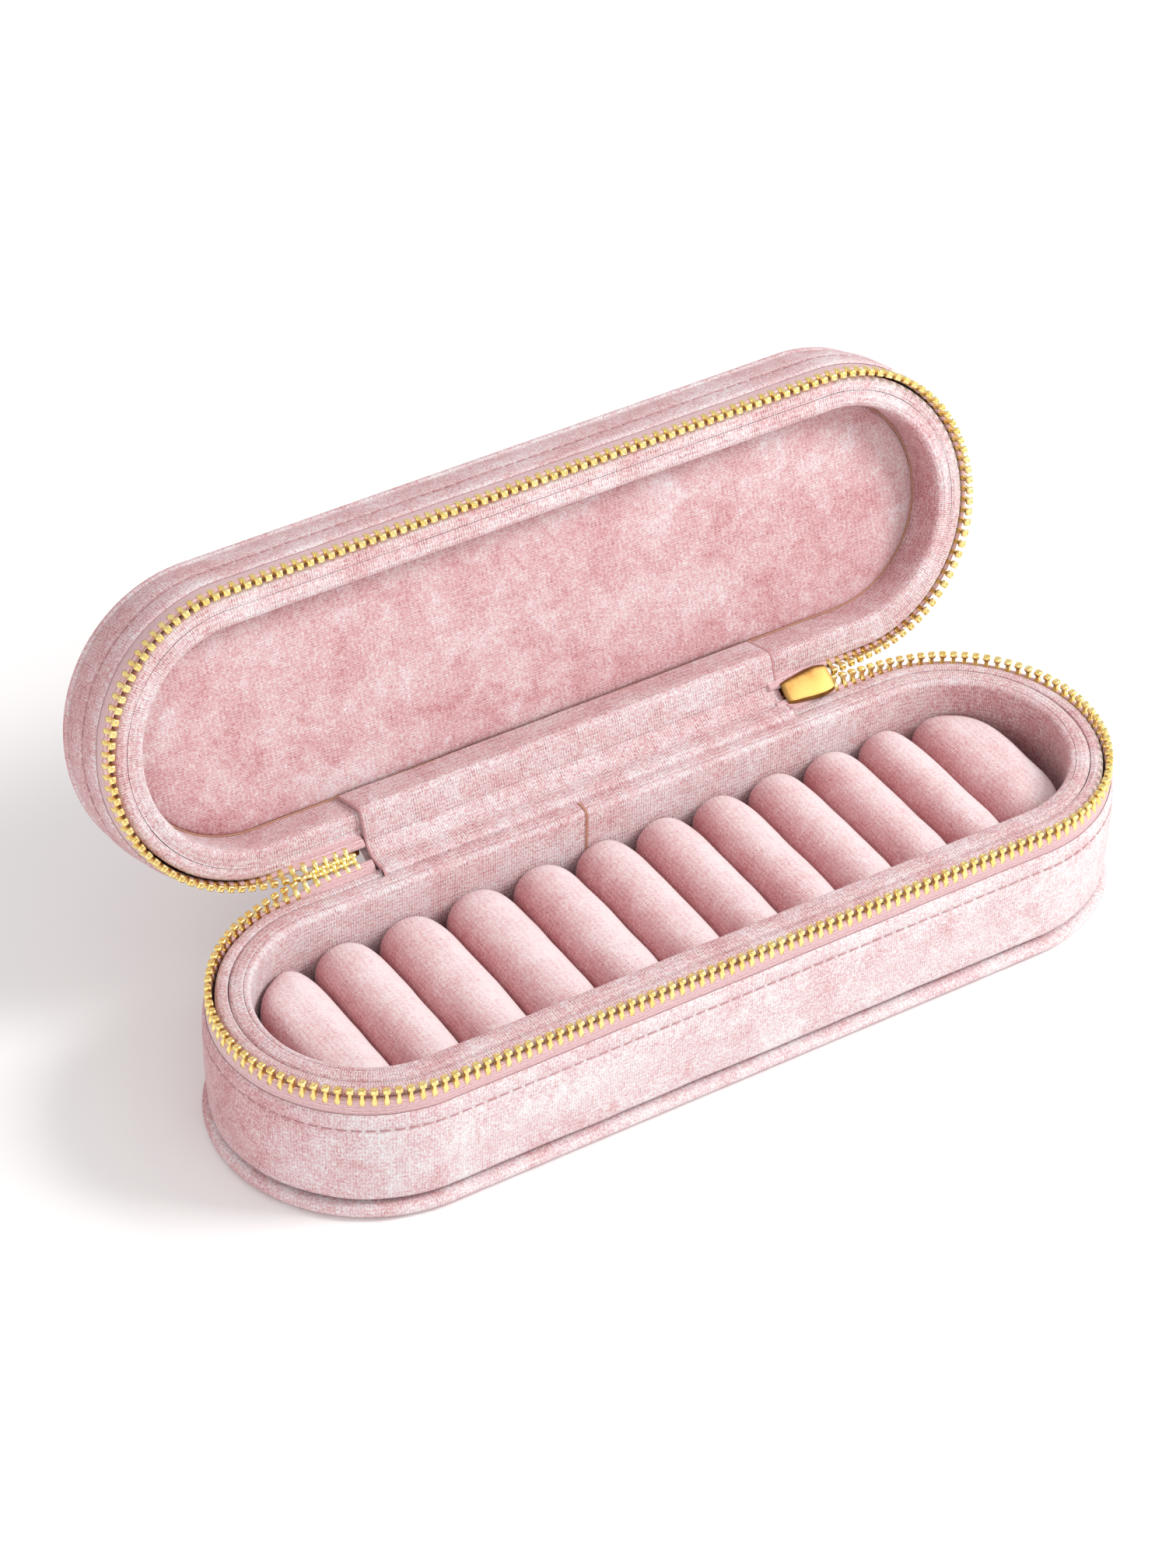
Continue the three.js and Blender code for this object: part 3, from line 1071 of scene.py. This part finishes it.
    def teeth(self) -> Piece:
        """The chain: each tooth has two legs clamped on the cord, a neck and a round head.

        Returns:
            The part of the chain that moves with this half.
        """
        tooth = self.tooth()
        left, right = BENDS
        places = round_path(
            self.tooth_r * MM, right.last_tooth * MM, left.last_tooth * MM, self.tooth_count
        )
        if self.half is Half.LID:
            places = [((p + q) / 2, (n + m).normalized()) for (p, n), (q, m) in pairwise(places)]
        name = self.named("teeth")
        gold = self.finishes.gold
        for bend in BENDS:
            ends = [(p, out) for p, out in places if bend.holds(p)]
            places = [(p, out) for p, out in places if not bend.holds(p)]
            leaning = [(p, out) for p, out in ends if not bend.met(p)]
            self.lean(self.chained(tooth, leaning, f"{name}_{bend.side}"), bend, gold, "gold_metal")
            met = [(p, out) for p, out in ends if bend.met(p)]
            if met:
                end = self.chained(tooth, met, f"{name}_{bend.side}_end")
                bend.lean(end, self.half)
                finished(smooth(self.settle(end)), gold, "gold_metal", "zip_end")
        obj = self.chained(tooth, places, name)
        bpy.data.objects.remove(tooth)
        return self.dress(obj, gold, "gold_metal", self.named("zip_teeth"))

    def chained(self, tooth: Piece, places: Sequence[tuple[Vector, Vector]], name: str) -> Piece:
        """Copies a tooth to places on the path."""
        flip = self.half is Half.LID
        return copies(tooth, [standing(p, out, PARTING_Z, flip) for p, out in places], name)

    def tooth(self) -> Piece:
        """One tooth: legs over the cord, a narrow neck, and a round dimpled head past the parting.

        Returns:
            The tooth at the origin, its head up.
        """
        clear_selection()
        bpy.ops.mesh.primitive_cube_add(
            size=1, location=(0, 0, -2.3 * MM), scale=(1.15 * MM, 1.6 * MM, 1.0 * MM)
        )
        obj = started("tooth")
        pick(obj, lambda co: co.z > -1.9 * MM, "FACE")
        height = -1.8  # the top of the cube
        for rise, wide, thick in TOOTH_STEPS:
            height += rise
            bpy.ops.mesh.extrude_region_move(TRANSFORM_OT_translate={"value": (0, 0, rise * MM)})
            bpy.ops.transform.resize(value=(wide, thick, 1), center_override=(0, 0, height * MM))
        bpy.ops.mesh.inset(thickness=0.22 * MM)
        bpy.ops.transform.translate(value=(0, 0, -0.2 * MM))
        bpy.ops.object.mode_set(mode="OBJECT")
        bevelled(obj, 0.13 * MM, 1)
        return obj

    def rim(self) -> Piece:
        """The velvet-covered stiff rim just inside the teeth.

        Returns:
            The rim.
        """
        section = [
            (32.05, 14), (32.05, 2.2), (31.97, 1.2), (31.65, 0.65), (31.1, 0.45), (30.4, 0.36),
            (29.8, 0.36), (29.4, 0.46), (29.24, self.valley + 0.3), (29.2, self.valley + 0.9), (29.2, 14),
        ]
        obj = self.turned(self.named("rim"), section)
        soften(obj, 0.1 * MM, 110, 3)
        return self.dress(obj, self.finishes.lining, "liner_velvet", self.named("inner_shell"))

    def liner(self) -> Piece:
        """The padded collar round the hollow, with a fine sewn line near its edge.

        Returns:
            The collar.
        """
        r, low = self.liner_inner, self.liner_low
        section = [
            (29.15, low), (29.15, self.valley + 0.9), (29.1, self.valley + 0.25), (28.85, 0.45),
            (28.2, 0.26), (27.0, 0.2), (r + 2.0, 0.2), (r + 1.8, 0.2 + self.groove * 0.2),
            (r + 1.7, 0.2 + self.groove), (r + 1.6, 0.2 + self.groove * 0.2), (r + 1.2, 0.22),
            (r + 0.6, 0.42), (r + 0.2, 1.0), (r, 1.9), (r, 5), (r, low * 0.6), (r, low),
        ]
        obj = self.turned(self.named("liner"), section)
        soften(obj, 0.14 * MM, 80, 9)
        return self.dress(obj, self.finishes.lining, "liner_velvet", self.named("liner_wall"))

    def liner_seam(self, x: float = -6.2) -> Piece:
        """The collar's own join, a tan line over its edge and down the inner wall.

        Args:
            x: where it is along the back, in millimetres.

        Returns:
            The seam.
        """
        r, top = self.liner_inner, PARTING_Z / MM
        path = [(r + 3.4, top - 0.2), (r + 1.6, top - 0.2), (r + 0.7, top - 0.35), (r + 0.22, top - 0.85),
                (r - 0.03, top - 2), (r - 0.06, top - 6), (r - 0.06, top - 12)]
        points = smooth_path([(y * MM, z * MM) for y, z in path], 3)
        obj = swept("base_liner_seam", points, (x * MM - 0.3 * MM, x * MM + 0.3 * MM), 1)
        thickened(obj, 0.35 * MM)
        return self.dress(obj, self.finishes.tan, "liner_velvet")

    def build(self) -> None:
        """Makes every piece of this half's walls."""
        self.cover()
        self.topstitch()
        self.tape()
        self.teeth()
        self.rim()
        self.liner()
        if self.half is Half.BASE:
            self.liner_seam()


@dataclass
class Foot:
    """The velvet-wrapped bottom board that stands proud of the walls."""

    finishes: Palette
    radius: float = 35.5
    thick: float = 3.4

    def build(self) -> Piece:
        """Makes the board with its soft rolled edge.

        Returns:
            The board.
        """
        r, t = self.radius, self.thick
        section = [
            (1, 0), (20, 0), (r - 3, 0), (r - 1.6, 0.08), (r - 0.7, 0.4), (r - 0.1, 1.1), (r, 1.8),
            (r - 0.12, 2.5), (r - 0.6, t - 0.35), (r - 1.4, t), (r - 4, t), (20, t), (1, t),
        ]
        obj = turned_pill("base_foot", section, Ends.SOLID)
        lay_round(obj, r * MM)
        smooth(obj)
        return finished(obj, self.finishes.outer, "velvet", "base", "base_bottom_board")


@dataclass
class LidPanels:
    """The lid's padded top, and the floor of its hollow with the seam round it."""

    finishes: Palette
    top: float = 56.0  # height of the closed box, in millimetres like every size here
    board: float = 2.7
    radius: float = 34.4
    floor: float = 43.5  # height of the hollow's floor with the box closed
    floor_r: float = 25.0

    def top_panel(self) -> Piece:
        """The outer top, its edge rounded down to the seam with the wall.

        Returns:
            The panel.
        """
        r, z, t = self.radius, self.top, self.board
        section = [
            (1, z - t), (20, z - t), (r - 1.2, z - t), (r - 0.5, z - t + 0.1), (r - 0.1, z - t + 0.5),
            (r, z - t + 1.1), (r - 0.35, z - 0.85), (r - 1.1, z - 0.35), (r - 2.4, z - 0.08),
            (r - 5, z), (20, z), (10, z), (1, z),
        ]
        obj = turned_pill("lid_top", section, Ends.SOLID)
        lay_round(obj, r * MM)
        return finished(smooth(placed(obj, OPENING)), self.finishes.outer, "velvet", "lid", "lid_top_board")

    def floor_panel(self) -> Piece:
        """The velvet floor, slightly pillowed, that the lid shows when open.

        Returns:
            The panel.
        """
        r, z = self.floor_r, self.floor
        section = [
            (1, z - 0.35), (8, z - 0.34), (16, z - 0.3), (20, z - 0.2), (22.6, z), (23.9, z + 0.25),
            (r - 0.35, z + 0.6), (r - 0.1, z + 1.1), (r - 0.1, z + 1.3), (12, z + 1.3), (1, z + 1.3),
        ]
        obj = turned_pill("lid_floor", section, Ends.SOLID)
        lay_flat(obj, Vector((0, 1, 0)), Vector((1, 0, 0)))
        soften(obj, 0.12 * MM, 60, 5)
        smooth(placed(obj, OPENING))
        return finished(obj, self.finishes.floor, "liner_velvet", "lid", "lid_floor_panel")

    def seam(self) -> Piece:
        """The tan thread line where the floor meets the wall.

        Returns:
            The seam.
        """
        r, z = self.floor_r, self.floor
        turns = [(r - 0.02 + 0.24 * math.cos(a), z + 0.62 + 0.24 * math.sin(a))
                 for a in (2 * math.pi * i / 8 for i in range(8))]
        obj = turned_pill("lid_floor_seam", turns)
        lay_round(obj, r * MM)
        smooth(placed(obj, OPENING))
        return finished(obj, self.finishes.tan, "velvet", "lid")

    def build(self) -> None:
        """Makes the panels and the seam."""
        self.top_panel()
        self.floor_panel()
        self.seam()


@dataclass
class RingRolls:
    """The foam rolls: round on top, box-like below, with rounded ends tucked to the liner."""

    finishes: Palette
    count: int = 12
    grid: int = 15
    dome: float = 7.9  # height of the rounded top
    crown: float = 0.2  # how far the cloth stands over the foam
    press: float = 0.1  # how far neighbours press together
    end_push: float = 1.6
    well_r: float = 24.0
    end_power: float = 5.0  # how square each roll is at its ends, from 2, round, upwards
    top_power: float = 2.15
    low_power: float = 7.0
    pressed_power: float = 3.6  # on the side of a last roll that faces the liner

    def roll(self, index: int) -> Piece:
        """Makes one roll in the room of its CAD solid.

        Args:
            index: its number, from 1 at the left.

        Returns:
            The roll.
        """
        node = f"ring_roll_{index:02d}"
        low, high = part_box(node)
        centre = (low + high) / 2
        half_w = (high[0] - low[0]) / 2 + self.press * MM
        outward = math.copysign(index in (1, self.count), centre.x)
        if outward:  # the last rolls are pushed out against the liner
            centre.x += outward * self.end_push / 2 * MM
            half_w += self.end_push / 2 * MM
        spring = high[2] - self.dome * MM
        rise, drop = high[2] - spring + self.crown * MM, spring - low[2]
        obj = block(f"roll_{index:02d}", self.grid)
        for vertex in obj.data.vertices:
            x, y, z = vertex.co
            top = self.pressed_power if x * outward > 0 else self.top_power
            power = top if z > 0 else self.low_power
            ring = (abs(x) ** power + abs(z) ** power) ** (self.end_power / power)
            share = (ring + abs(y) ** self.end_power) ** (-1 / self.end_power)
            px, py, pz = x * share * half_w, y * share * self.well_r * MM, z * share
            pz *= rise if z > 0 else drop
            gx = centre.x + px
            over = max(abs(gx) - HALF, 0)
            room = math.sqrt(max((self.well_r * MM) ** 2 - over ** 2, 1e-9))
            vertex.co = Vector((gx, py * room / (self.well_r * MM), spring + pz))
        refine(obj)
        lay_flat(obj, Vector((0, 1, 0)), Vector((0.8, 0, 0.8)))
        soften(obj, 0.22 * MM, 120, index * 7.3)
        smooth(obj, 180)
        return finished(obj, self.finishes.roll, "roll_velvet", "base", node)

    def build(self) -> None:
        """Makes the row of rolls."""
        for index in range(1, self.count + 1):
            self.roll(index)


@dataclass
class SoftHinge:
    """The lining's flap and the strip behind it, shaped from the base round to the open lid."""

    finishes: Palette
    thick: float = 0.7
    gap: float = 0.3
    slider_gap: float = 1.1  # from the flap's edge to the slider's tail
    tuck: tuple[float, float] = (0.3, 1.2)  # how far the strip goes on behind the tapes
    pocket_y: float = 28.85  # the flap starts between the base's rim and its collar
    rim_top: float = 33.4
    rim_r: float = 31.9
    liner_r: float = 29.0
    wall_r: float = 25.2  # the lid's inner wall
    floor: float = 43.5  # the lid's floor, with the box closed

    def flap_path(self) -> list[tuple[float, float]]:
        """The flap's way out of its pocket, over both rims and down the lid's inner wall.

        Returns:
            (Y, Z) points in metres.
        """
        off = self.gap + self.thick / 2
        wall, rim = self.wall_r - off, 34.1 - off
        y, z = self.pocket_y, self.rim_top
        base = [(y, 24), (y, z - 0.8), (y + 0.1, z + 0.35), (y + 0.85, z + 1),
                (y + 2.5, z + 1.15), (self.rim_r + 1.6, z + 1.15), (35.3, z + 2.1)]
        lid = [(self.rim_r + 0.4, rim + 0.2), (self.liner_r + 2, rim), (wall + 2, rim),
               (wall + 0.5, rim + 0.3), (wall, rim + 1.6), (wall, self.floor - 4), (wall, self.floor - off)]
        points = [(a * MM, b * MM) for a, b in base] + [opened(a * MM, b * MM) for a, b in lid]
        return smooth_path(points, 6)

    def strip_path(self) -> list[tuple[float, float]]:
        """The hidden strip's way, past the hinge line, between the two tape layers.

        Returns:
            (Y, Z) points in metres.
        """
        base = [(33.4, 17.5), (33.4, 23), (33.4, 29.4), (34.3, 31.7), (35.5, 33)]
        points = [(a * MM, b * MM) for a, b in base]
        mirrored = [opened(a * MM, 2 * HINGE_AT.z - b * MM) for a, b in reversed(base)]
        return smooth_path(points + mirrored, 5)

    def build(self) -> None:
        """Makes the flap, its folded edges coloured darker as painted shade, and the strip."""
        path = self.flap_path()
        low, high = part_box("hinge_flap")
        span = (low[0], high[0] - self.slider_gap * MM)
        flap = swept("hinge_flap_velvet", path, span)
        soften(flap, 0.25 * MM, 60, 2)
        thickened(flap, self.thick * MM)
        smooth(flap, 80)
        start, end = (0, 33.6 * MM, 34.4 * MM), (0, 37.4 * MM, 38.2 * MM)
        self.cross(flap, self.finishes.lining, start, end, "hinge_flap")
        # painted shade: a strip over each end of the flap, a little thicker than it and in the darker
        # thread colour, stands in for the shade along the folded edge
        for x in span:
            fold = swept("hinge_flap_fold_shade", path, (x - 0.25 * MM, x + 0.25 * MM), 1)
            thickened(fold, (self.thick + 0.1) * MM)
            smooth(fold, 80)
            self.cross(fold, self.finishes.thread, start, end)
        low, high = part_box("hinge_spine")
        span = (low[0] - self.tuck[0] * MM, high[0] + self.tuck[1] * MM)
        path = self.strip_path()
        strip = swept("hinge_strip_velvet", path, span)
        thickened(strip, 0.6 * MM)
        smooth(strip, 80)
        start, end = (0, 34.2 * MM, 31.6 * MM), (0, *opened(34.2 * MM, 2 * HINGE_AT.z - 31.6 * MM))
        self.cross(strip, self.finishes.outer, start, end, "hinge_spine")

    def cross(self, obj: Piece, finish: bpy.types.Material, start: tuple, end: tuple, *nodes: str) -> None:
        """Finishes a piece that reaches from one half to the other.

        Args:
            obj: the piece.
            finish: its material.
            start: not used.
            end: not used.
            nodes: CAD nodes that it stands for.
        """
        coated(obj, finish)
        if nodes:
            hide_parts(*nodes)
        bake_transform(obj)


def swept(
    name: str, path: Sequence[tuple[float, float]], span: tuple[float, float], columns: int = 36
) -> Piece:
    """Draws an edge along X out through a path in the YZ plane.

    Args:
        name: the piece's name.
        path: (Y, Z) points in metres.
        span: its two ends along X, in metres.
        columns: how many faces there are along X.

    Returns:
        The sheet, in object mode.
    """
    clear_selection()
    bpy.ops.mesh.primitive_grid_add(
        x_subdivisions=columns, y_subdivisions=1, size=1, location=(sum(span) / 2, 0, 0)
    )
    bpy.context.object.scale = (span[1] - span[0], 1, 1)
    obj = started(name)
    pick(obj, lambda co: co.y > 0)
    bpy.ops.mesh.delete(type="VERT")
    bpy.ops.object.mode_set(mode="OBJECT")
    for vertex in obj.data.vertices:
        vertex.co.y, vertex.co.z = path[0]
    all_picked()
    for (y0, z0), (y1, z1) in pairwise(path):
        bpy.ops.mesh.extrude_edges_move(TRANSFORM_OT_translate={"value": (0, y1 - y0, z1 - z0)})
    bpy.ops.object.mode_set(mode="OBJECT")
    lay_flat(obj, Vector((1, 0, 0)), Vector((0, 1, 1)))
    return obj


def thickened(obj: Piece, thick: float) -> None:
    """Gives a sheet its thickness, evenly to both sides, and softens its edges.

    Args:
        obj: the sheet.
        thick: its thickness, in metres.
    """
    select_only(obj)
    mod = obj.modifiers.new("cloth", "SOLIDIFY")
    mod.thickness, mod.offset = thick, 0.0
    bpy.ops.object.modifier_apply(modifier=mod.name)
    face_outwards(obj)
    bevelled(obj, thick * 0.3, 2)


def smooth_path(points: Sequence[tuple[float, float]], steps: int) -> list[tuple[float, float]]:
    """Draws a smooth curve through points.

    Args:
        points: places in a plane.
        steps: how many pieces each stretch is divided into.

    Returns:
        The points of the curve.
    """
    ends = [points[0], *points, points[-1]]
    made = []
    for a, b, c, d in zip(ends, ends[1:], ends[2:], ends[3:]):
        for i in range(steps):
            t = i / steps
            weights = (-t + 2 * t * t - t ** 3, 2 - 5 * t * t + 3 * t ** 3,
                       t + 4 * t * t - 3 * t ** 3, t ** 3 - t * t)
            made.append(tuple(sum(w * p[k] for w, p in zip(weights, (a, b, c, d))) / 2 for k in (0, 1)))
    return [*made, tuple(points[-1])]


@dataclass
class Zipper:
    """The slider, its bridge and pull tab, and the stops of the chains.

    The slider's own axes are X along the box, Y out through the wall and Z up, about the
    hinge line, turned halfway open.
    """

    finishes: Palette
    x: float = 58.0
    length: float = 12.6
    plate_in: float = -3.6  # Y of the plate inside the box
    plate_out: float = 1.8  # Y of the plate on the back
    plate_t: float = 0.5
    lip: float = 0.45  # how far a plate's edges turn towards the other plate
    tab_length: float = 25.0
    tab_start: float = -0.55  # the tab's end, from its pivot
    pivot: float = 4.05  # the tab's axis, out from the hinge line
    eye: Window = ((-0.95, -0.48), 0.5)  # from -1 to 1 along the tab, and half its width
    hole: Window = ((0.72, 0.86), 0.25)

    def place(self) -> Matrix:
        """The slider's place at rest."""
        return HALF_OPENING @ Matrix.Translation((self.x * MM, 0, 0))

    def plated(self, obj: Piece, body: str, node: str) -> Piece:
        """Finishes a metal piece."""
        return finished(smooth(obj, 40), self.finishes.slider, "gold_metal", body, node)

    def plate(self, y: float, nose: float, tail: float, dome: float) -> Piece:
        """A flared plate with a gently domed outer face and turned edges.

        Args:
            y: where its outer face is.
            nose: half its height at the wide end.
            tail: half its height at the narrow end.
            dome: how far the middle stands out, signed along Y.

        Returns:
            The plate, about the hinge line.
        """
        obj = block("plate", 9)
        for vertex in obj.data.vertices:
            u, v, w = vertex.co  # along, out and up, each from -1 to 1
            flare = 0.5 + 0.5 * math.tanh(2.6 * (u + 0.15))
            width = tail + (nose - tail) * flare
            corner = 1 - 0.16 * max(abs(u) - 0.55, 0) ** 1.5 / 0.3
            x = u * self.length / 2 * (1 - 0.05 * w * w)
            lift = dome * (1 - w * w) * (1 - u ** 4)
            outer = v * math.copysign(1, dome) > 0
            lip = -math.copysign(self.lip, dome) if abs(w) > 0.9 else 0
            vertex.co = Vector((x, y + v * self.plate_t / 2 + (lift if outer else 0) + lip,
                                w * width * corner)) * MM
        bevelled(obj, 0.14 * MM, 2)
        return obj

    def body(self) -> Piece:
        """Two plates and the wedge between them.

        Returns:
            The slider.
        """
        inner = self.plate(self.plate_in, 3.7, 3.0, -0.15)
        outer = self.plate(self.plate_out + 0.4, 3.0, 2.5, 0.25)
        clear_selection()
        bpy.ops.mesh.primitive_cylinder_add(
            vertices=24, radius=1.0 * MM, depth=(self.plate_out - self.plate_in) * MM,
            location=(-3.5 * MM, (self.plate_in + self.plate_out) / 2 * MM, 0),
            rotation=(math.pi / 2, 0, 0), scale=(1.5, 0.8, 1),
        )
        post = started("post")
        obj = placed(joined("slider_body", [inner, outer, post]), self.place())
        return self.plated(obj, "slider", "zip_slider_body")

    def bridge(self) -> Piece:
        """The round-sectioned arch that keeps the tab.

        Returns:
            The bridge.
        """
        clear_selection()
        bpy.ops.mesh.primitive_torus_add(
            major_segments=48, minor_segments=12, major_radius=3.1 * MM, minor_radius=0.55 * MM,
        )
        obj = started("slider_bridge")
        all_picked()
        bpy.ops.mesh.bisect(plane_co=(0, 0, 0), plane_no=(0, 1, 0), clear_inner=True, use_fill=True)
        bpy.ops.object.mode_set(mode="OBJECT")
        foot = 2.7 * MM
        for vertex in obj.data.vertices:
            vertex.co.y = foot + vertex.co.y * 0.86 + (0.3 * MM if vertex.co.y > 1.5 * MM else 0)
            vertex.co.z *= 1.25
        face_outwards(obj)
        return self.plated(placed(obj, self.place()), "slider", "zip_slider_bridge")

    def tab(self) -> Piece:
        """The pull tab: a tapering plate with a long eye, a raised border and a small hole.

        Returns:
            The tab.
        """
        obj = block("pull_tab", 0)
        bpy.ops.object.mode_set(mode="EDIT")
        sliced((-1 + 2 * i / 40 for i in range(1, 40)), (0, 1, 0))
        sliced((-1 + i / 5 for i in range(1, 10)), (0, 0, 1))
        for (y0, y1), z_half in (self.eye, self.hole):
            pick(obj, lambda co: abs(co.x) > 0.9 and y0 < co.y < y1 and abs(co.z) < z_half, "FACE")
            bpy.ops.mesh.delete(type="FACE")
            pick_open("EDGE")
            bpy.ops.mesh.bridge_edge_loops()
        bpy.ops.object.mode_set(mode="OBJECT")
        for vertex in obj.data.vertices:
            u, v, w = vertex.co
            half_w = 2.5 + 0.9 * (v + 1) / 2
            round_tip = math.sqrt(max(1 - (max(v - 0.78, 0) / 0.22) ** 2 * 0.92, 0.02))
            round_top = math.sqrt(max(1 - (max(-0.9 - v, 0) / 0.1) ** 2 * 0.6, 0.05))
            half_t = 0.5 * (1.15 if abs(w) > 0.75 or v > 0.93 else 0.8)  # a raised border
            along = self.tab_start + (v + 1) / 2 * (self.tab_length - self.tab_start)
            across = w * half_w * round_tip * round_top
            vertex.co = Vector((u * half_t, self.pivot + along, across)) * MM
        face_outwards(obj)
        bevelled(obj, 0.12 * MM, 2)
        return self.plated(placed(obj, self.place()), "pull_tab", "zip_pull_tab")

    def stop(self, node: str, body: str) -> Piece:
        """A crimped stop in the room of its CAD block.

        Args:
            node: the CAD block.
            body: the body that it moves with.

        Returns:
            The stop.
        """
        obj = block(node.replace("zip_", "") + "_crimp", 2, *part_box(node))
        bevelled(obj, 0.3 * MM, 3)
        return self.plated(obj, body, node)

    def build(self) -> None:
        """Makes all of the zip's hardware."""
        self.body()
        self.bridge()
        self.tab()
        self.stop("zip_top_stop_base", "base")
        self.stop("zip_top_stop_lid", "lid")
        self.stop("zip_bottom_stop", "zip_end")


def dress_hidden_nodes(finishes: Palette) -> None:
    """Gives the CAD pieces that stay their own finish."""
    for name, finish in (("ring_pad_card", finishes.card), ("lid_foam_pad", finishes.foam)):
        coated(frame["nodes"][name], finish)


# Studio ---------------------------------------------------------------------------------


@dataclass(frozen=True)
class Lamp:
    """A soft square light, its place and size in metres and its power in watts."""

    name: str
    place: Vector
    size: float
    power: float
    color: Color


LAMPS = (
    Lamp("key", Vector((0.85, -0.55, 0.9)), 0.45, 12.3, (1.0, 0.99, 0.98)),
    Lamp("fill", Vector((-0.9, -0.8, 0.5)), 0.9, 3.7, (1.0, 0.99, 0.99)),
)


@dataclass
class Studio:
    """A pale floor, soft lights and the camera, in metres and radians."""

    place: Vector
    aim: Vector
    roll: float
    lens: float  # focal length in millimetres
    white: Color = (0.96, 0.96, 0.96)
    room: Color = (1.0, 0.99, 0.985)
    room_light: float = 0.74

    def camera(self) -> None:
        """Sets the camera."""
        data = bpy.data.cameras.new("camera")
        data.lens, data.sensor_width, data.clip_end = self.lens, 36.0, 10.0
        obj = bpy.data.objects.new("camera", data)
        bpy.context.collection.objects.link(obj)
        look = (self.aim - self.place).to_track_quat("-Z", "Y").to_matrix()
        turn = look @ Matrix.Rotation(self.roll, 3, "Z")
        obj.matrix_world = Matrix.Translation(self.place) @ turn.to_4x4()
        bpy.context.scene.camera = obj

    def floor(self) -> None:
        """A wide pale floor."""
        clear_selection()
        bpy.ops.mesh.primitive_plane_add(size=8, location=(0, 0, -0.0002))
        obj = started("floor")
        material = bpy.data.materials.new("floor_white")
        material.use_nodes = True
        shader = material.node_tree.nodes["Principled BSDF"]
        shader.inputs["Base Color"].default_value = (*self.white, 1)
        shader.inputs["Roughness"].default_value = 0.9
        obj.data.materials.append(material)

    def light(self, lamp: Lamp) -> None:
        """Adds a lamp aimed where the camera is aimed.

        Args:
            lamp: the lamp.
        """
        data = bpy.data.lights.new(lamp.name, "AREA")
        data.size, data.energy, data.color = lamp.size, lamp.power, lamp.color
        obj = bpy.data.objects.new(lamp.name, data)
        obj.location = lamp.place
        obj.rotation_euler = (self.aim - lamp.place).to_track_quat("-Z", "Y").to_euler()
        bpy.context.collection.objects.link(obj)

    def build(self) -> None:
        """Sets the room, the lights and the camera."""
        world = bpy.data.worlds.new("studio")
        world.use_nodes = True
        background = world.node_tree.nodes["Background"]
        background.inputs["Color"].default_value = (*self.room, 1)
        background.inputs["Strength"].default_value = self.room_light
        bpy.context.scene.world = world
        bpy.context.scene.view_settings.view_transform = "Standard"
        self.floor()
        for lamp in LAMPS:
            self.light(lamp)
        self.camera()


def main() -> None:
    """Builds the ring box and its studio."""
    logging.basicConfig(level=logging.INFO, format="%(message)s")
    finishes = Palette()
    Studio(
        place=Vector((-0.46756, -0.67996, 0.73297)), aim=Vector((0, 0.03372, 0.0324)),
        roll=math.radians(1.414), lens=115.57,
    ).build()
    Foot(finishes).build()
    Shell(Half.BASE, finishes).build()
    Shell(
        Half.LID, finishes, cover_low=19.2, stitch=10.6, liner_inner=25.2, liner_low=18.8,
        groove=0.04, valley=0.15,
    ).build()
    LidPanels(finishes).build()
    RingRolls(finishes).build()
    SoftHinge(finishes).build()
    Zipper(finishes).build()
    dress_hidden_nodes(finishes)


if __name__ == "__main__":
    main()
